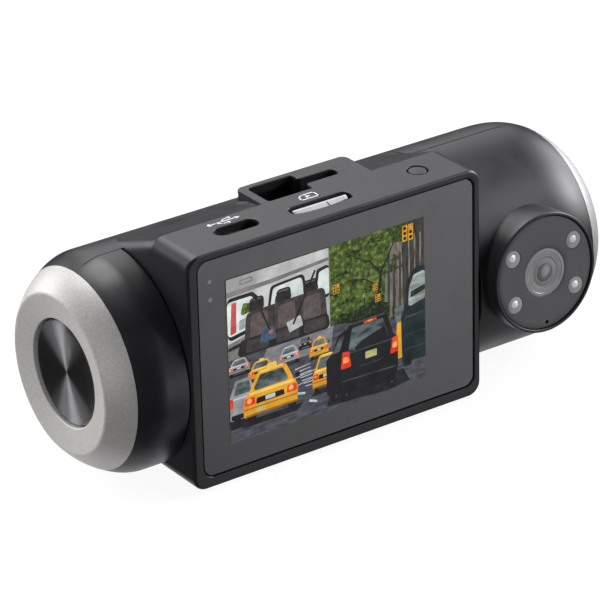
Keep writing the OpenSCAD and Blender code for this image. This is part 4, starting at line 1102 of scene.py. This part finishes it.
card_mark = stroke([(-1.5, 7.85), (1.9, 7.85), (1.9, 9.55), (-0.6, 9.55), (-1.5, 8.9)], 0.26, closed=True)
card_mark += [flat_top([(-0.2, 8.3), (0.8, 8.7), (-0.2, 9.1)])]
# a trident, the generic sign for this kind of data socket
usb_mark = stroke([(-19.2, 9.1), (-14.2, 9.1)], 0.26)
usb_mark += [flat_top(disc2(-19.5, 9.1, 0.42)), flat_top([(-14.3, 8.65), (-13.4, 9.1), (-14.3, 9.55)])]
usb_mark += stroke([(-18.2, 9.1), (-17.3, 8.35), (-16.2, 8.35)], 0.22)
usb_mark += stroke([(-17.2, 9.1), (-16.3, 9.85), (-15.4, 9.85)], 0.22)
usb_mark += [flat_top(disc2(-16.1, 8.35, 0.3)), flat_top(rounded_rect(-15.2, 9.85, 0.55, 0.55, 0.03, 2))]
piece("top_marks", card_mark + usb_mark, PRINT, "housing")

# ---- Road lens ----
bezel = rounded_path([(15.8, 6.05, 0), (ROAD_REACH - 1.8, 6.05, 0.1), (ROAD_REACH, 7.55, 0.15),
                      (ROAD_REACH, ROAD_BORE_R - 0.7, 0.3), (ROAD_REACH - 1.0, ROAD_BORE_R - 0.05, 0.2),
                      (15.8, ROAD_BORE_R - 0.05, 0)], n=5)
piece("road_bezel", [lathe(dense(bezel, 1.0), ROAD, n=192)], GLOSS, "housing", ["road_lens_bezel"])
ROAD_LENS_R, ROAD_LENS_RISE = 5.1, 0.9
road_dome = [(18.3, 0)] + [(19.0 + ROAD_LENS_RISE * (1 - (k / 12) ** 2), ROAD_LENS_R * k / 12)
                           for k in range(13)] + [(18.3, ROAD_LENS_R)]
piece("road_lens", [lathe(road_dome, ROAD, n=128)], ROAD_GLASS, "housing", ["road_lens_glass"])

# ---- CAD nodes that keep their shape ----
NODE_LOOKS = {
    "road_lens_barrel": LENS_DARK, "road_sensor_board": BOARD, "main_board": BOARD,
    "cabin_sensor_board": BOARD, "end_switch_board": BOARD, "processor": GLOSS, "heat_spreader": STEEL,
    "usb_socket": STEEL, "usb_tongue": GLOSS, "card_socket": DARK_STEEL, "power_switch": STEEL,
    "backup_battery": plastic("cell_wrap", (0.04, 0.12, 0.35), 0.3), "speaker": INNER_BLACK_AND_SHADE,
    "gps_antenna": plastic("ceramic", (0.5, 0.38, 0.25), 0.7), "slot_rail": DARK_STEEL,
    "slot_spring": DARK_STEEL, "pivot_flange": INNER_BLACK_AND_SHADE, "pivot_retainer": STEEL,
    "friction_washer": plastic("washer_film", (0.25, 0.2, 0.06), 0.5),
    "camera_ribbon": plastic("ribbon_film", (0.35, 0.15, 0.04), 0.4), "housing_screws": DARK_STEEL,
    "end_switch": STEEL, "display_frame": STEEL, "cabin_hub": INNER_BLACK_AND_SHADE, "cabin_microphone": STEEL,
}
for name, look in NODE_LOOKS.items():
    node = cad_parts[name]
    node.data.materials.clear()
    node.data.materials.append(look)

# ---- Stage ----
FLOOR_HALF = 4.0
floor_mesh = bpy.data.meshes.new("floor")
floor_mesh.from_pydata([(x * FLOOR_HALF, y * FLOOR_HALF, CAD_BOX[0][2])
                        for x, y in ((-1, -1), (1, -1), (1, 1), (-1, 1))], [], [(0, 1, 2, 3)])
floor = bpy.data.objects.new("floor", floor_mesh)
bpy.context.scene.collection.objects.link(floor)
floor_mat, floor_nodes, floor_links, floor_bsdf = new_material("floor_white")
floor_noise = noise(floor_nodes, floor_links, 60, 2.0)
floor_tint = ramp(floor_nodes, floor_links, floor_noise, [(0.3, (0.10,) * 3), (0.7, (0.105,) * 3)])
floor_links.new(floor_tint, floor_bsdf.inputs["Base Color"])
floor_bsdf.inputs["Roughness"].default_value = 0.9
floor_bsdf.inputs["Specular IOR Level"].default_value = 0.0
floor_bsdf.inputs["Emission Color"].default_value = (1, 1, 1, 1)
floor_bsdf.inputs["Emission Strength"].default_value = 0.93
floor_mesh.materials.append(floor_mat)
floor.visible_glossy = False
floor.visible_diffuse = False
floor.visible_shadow = False


def area_light(name, at, towards, size, power):
    data = bpy.data.lights.new(name, "AREA")
    data.shape = "RECTANGLE"
    data.size, data.size_y = size
    data.energy = power
    lamp = bpy.data.objects.new(name, data)
    bpy.context.scene.collection.objects.link(lamp)
    lamp.location = at
    lamp.rotation_euler = (Vector(towards) - Vector(at)).to_track_quat("-Z", "Y").to_euler()
    return lamp


CENTRE = (0.006, 0.005, -0.024)
area_light("top_softbox", (0.0, 0.34, 0.58), CENTRE, (0.5, 0.4), 4.0)
for name, at, power in (("back_left_fill", (-0.42, 0.62, 0.10), 11.0),
                        ("front_left_fill", (-0.62, -0.30, 0.06), 3.4)):
    fill = area_light(name, at, CENTRE, (0.4, 0.4), power)
    fill.visible_glossy = False

world = bpy.data.worlds.new("studio")
bpy.context.scene.world = world
world.use_nodes = True
wn, wl = world.node_tree.nodes, world.node_tree.links
background = wn["Background"]
background.inputs["Color"].default_value = (1, 1, 1, 1)
background.inputs["Strength"].default_value = 1.0
sky = wn.new("ShaderNodeTexCoord")


def studio_card(direction, width, softness, level):
    """A bright patch of the studio around a direction, its half width in degrees."""
    dot = wn.new("ShaderNodeVectorMath")
    dot.operation = "DOT_PRODUCT"
    dot.inputs[1].default_value = Vector(direction).normalized()
    wl.new(sky.outputs["Generated"], dot.inputs[0])
    fade = wn.new("ShaderNodeMapRange")
    fade.interpolation_type = "SMOOTHSTEP"
    fade.inputs["From Min"].default_value = math.cos(math.radians(width + softness))
    fade.inputs["From Max"].default_value = math.cos(math.radians(width))
    fade.inputs["To Max"].default_value = level
    wl.new(dot.outputs["Value"], fade.inputs["Value"])
    return fade.outputs["Result"]


# (direction, half width, softness, brightness) of what the studio shows in reflections
STUDIO = [
    ((0.40, 0.78, 0.48), 6, 22, 1.35),       # white backdrop behind
    ((0.93, 0.05, 0.36), 13, 20, 5.0),       # softbox at the right
    ((0.84, -0.32, 0.43), 8, 15, 8.5),       # its bright front edge
    ((-0.30, 0.92, 0.22), 10, 12, 2.7),      # strip light behind, to the left
    ((0.60, -0.76, -0.25), 4, 15, 1.7),      # white wall in front
    ((0.12, 0.45, -0.88), 18, 22, 0.85),     # white table below
    ((0.50, -0.30, -0.78), 10, 18, 0.35),    # its front part
    ((-0.15, 0.10, 1.0), 10, 22, 0.5),       # overhead
]
AMBIENT = 0.02
total = None
for card in STUDIO:
    level = studio_card(*card)
    if total is not None:
        add = wn.new("ShaderNodeMath")
        add.operation = "ADD"
        wl.new(total, add.inputs[0])
        wl.new(level, add.inputs[1])
        level = add.outputs["Value"]
    total = level
ambient = wn.new("ShaderNodeMath")
ambient.operation = "ADD"
ambient.inputs[1].default_value = AMBIENT
wl.new(total, ambient.inputs[0])
soft = wn.new("ShaderNodeBackground")
soft.inputs["Color"].default_value = (0.96, 0.96, 1.0, 1)
wl.new(ambient.outputs["Value"], soft.inputs["Strength"])
path = wn.new("ShaderNodeLightPath")
mix = wn.new("ShaderNodeMixShader")
wl.new(path.outputs["Is Camera Ray"], mix.inputs["Fac"])
wl.new(soft.outputs["Background"], mix.inputs[1])
wl.new(background.outputs["Background"], mix.inputs[2])
wl.new(mix.outputs["Shader"], wn["World Output"].inputs["Surface"])
bpy.context.scene.view_settings.view_transform = "Standard"

# ---- Camera ----
AZ, EL, ROLL = (math.radians(a) for a in (34.695, 26.047, -1.391))
LENS_MM, SENSOR_MM = 225.23, 36.0
AIM = Vector((-2.2, 0.4, 3.4))                     # the middle of the display's picture
SHIFT_RIGHT, SHIFT_UP, DISTANCE = 3.312, -3.691, 650.7
look = Vector((math.sin(AZ) * math.cos(EL), math.cos(AZ) * math.cos(EL), -math.sin(EL)))
right0 = Vector((math.cos(AZ), -math.sin(AZ), 0))
up0 = right0.cross(look)
right = right0 * math.cos(ROLL) + up0 * math.sin(ROLL)
up = up0 * math.cos(ROLL) - right0 * math.sin(ROLL)
eye = AIM - (right * SHIFT_RIGHT + up * SHIFT_UP + look * DISTANCE)
camera_data = bpy.data.cameras.new("camera")
camera_data.sensor_width = SENSOR_MM
camera_data.lens = LENS_MM
camera_data.clip_start = 0.01
camera = bpy.data.objects.new("camera", camera_data)
bpy.context.scene.collection.objects.link(camera)
turn = Matrix((right, up, -look)).transposed().to_4x4()
camera.matrix_world = Matrix.Translation(to_row(eye)) @ turn
bpy.context.scene.camera = camera
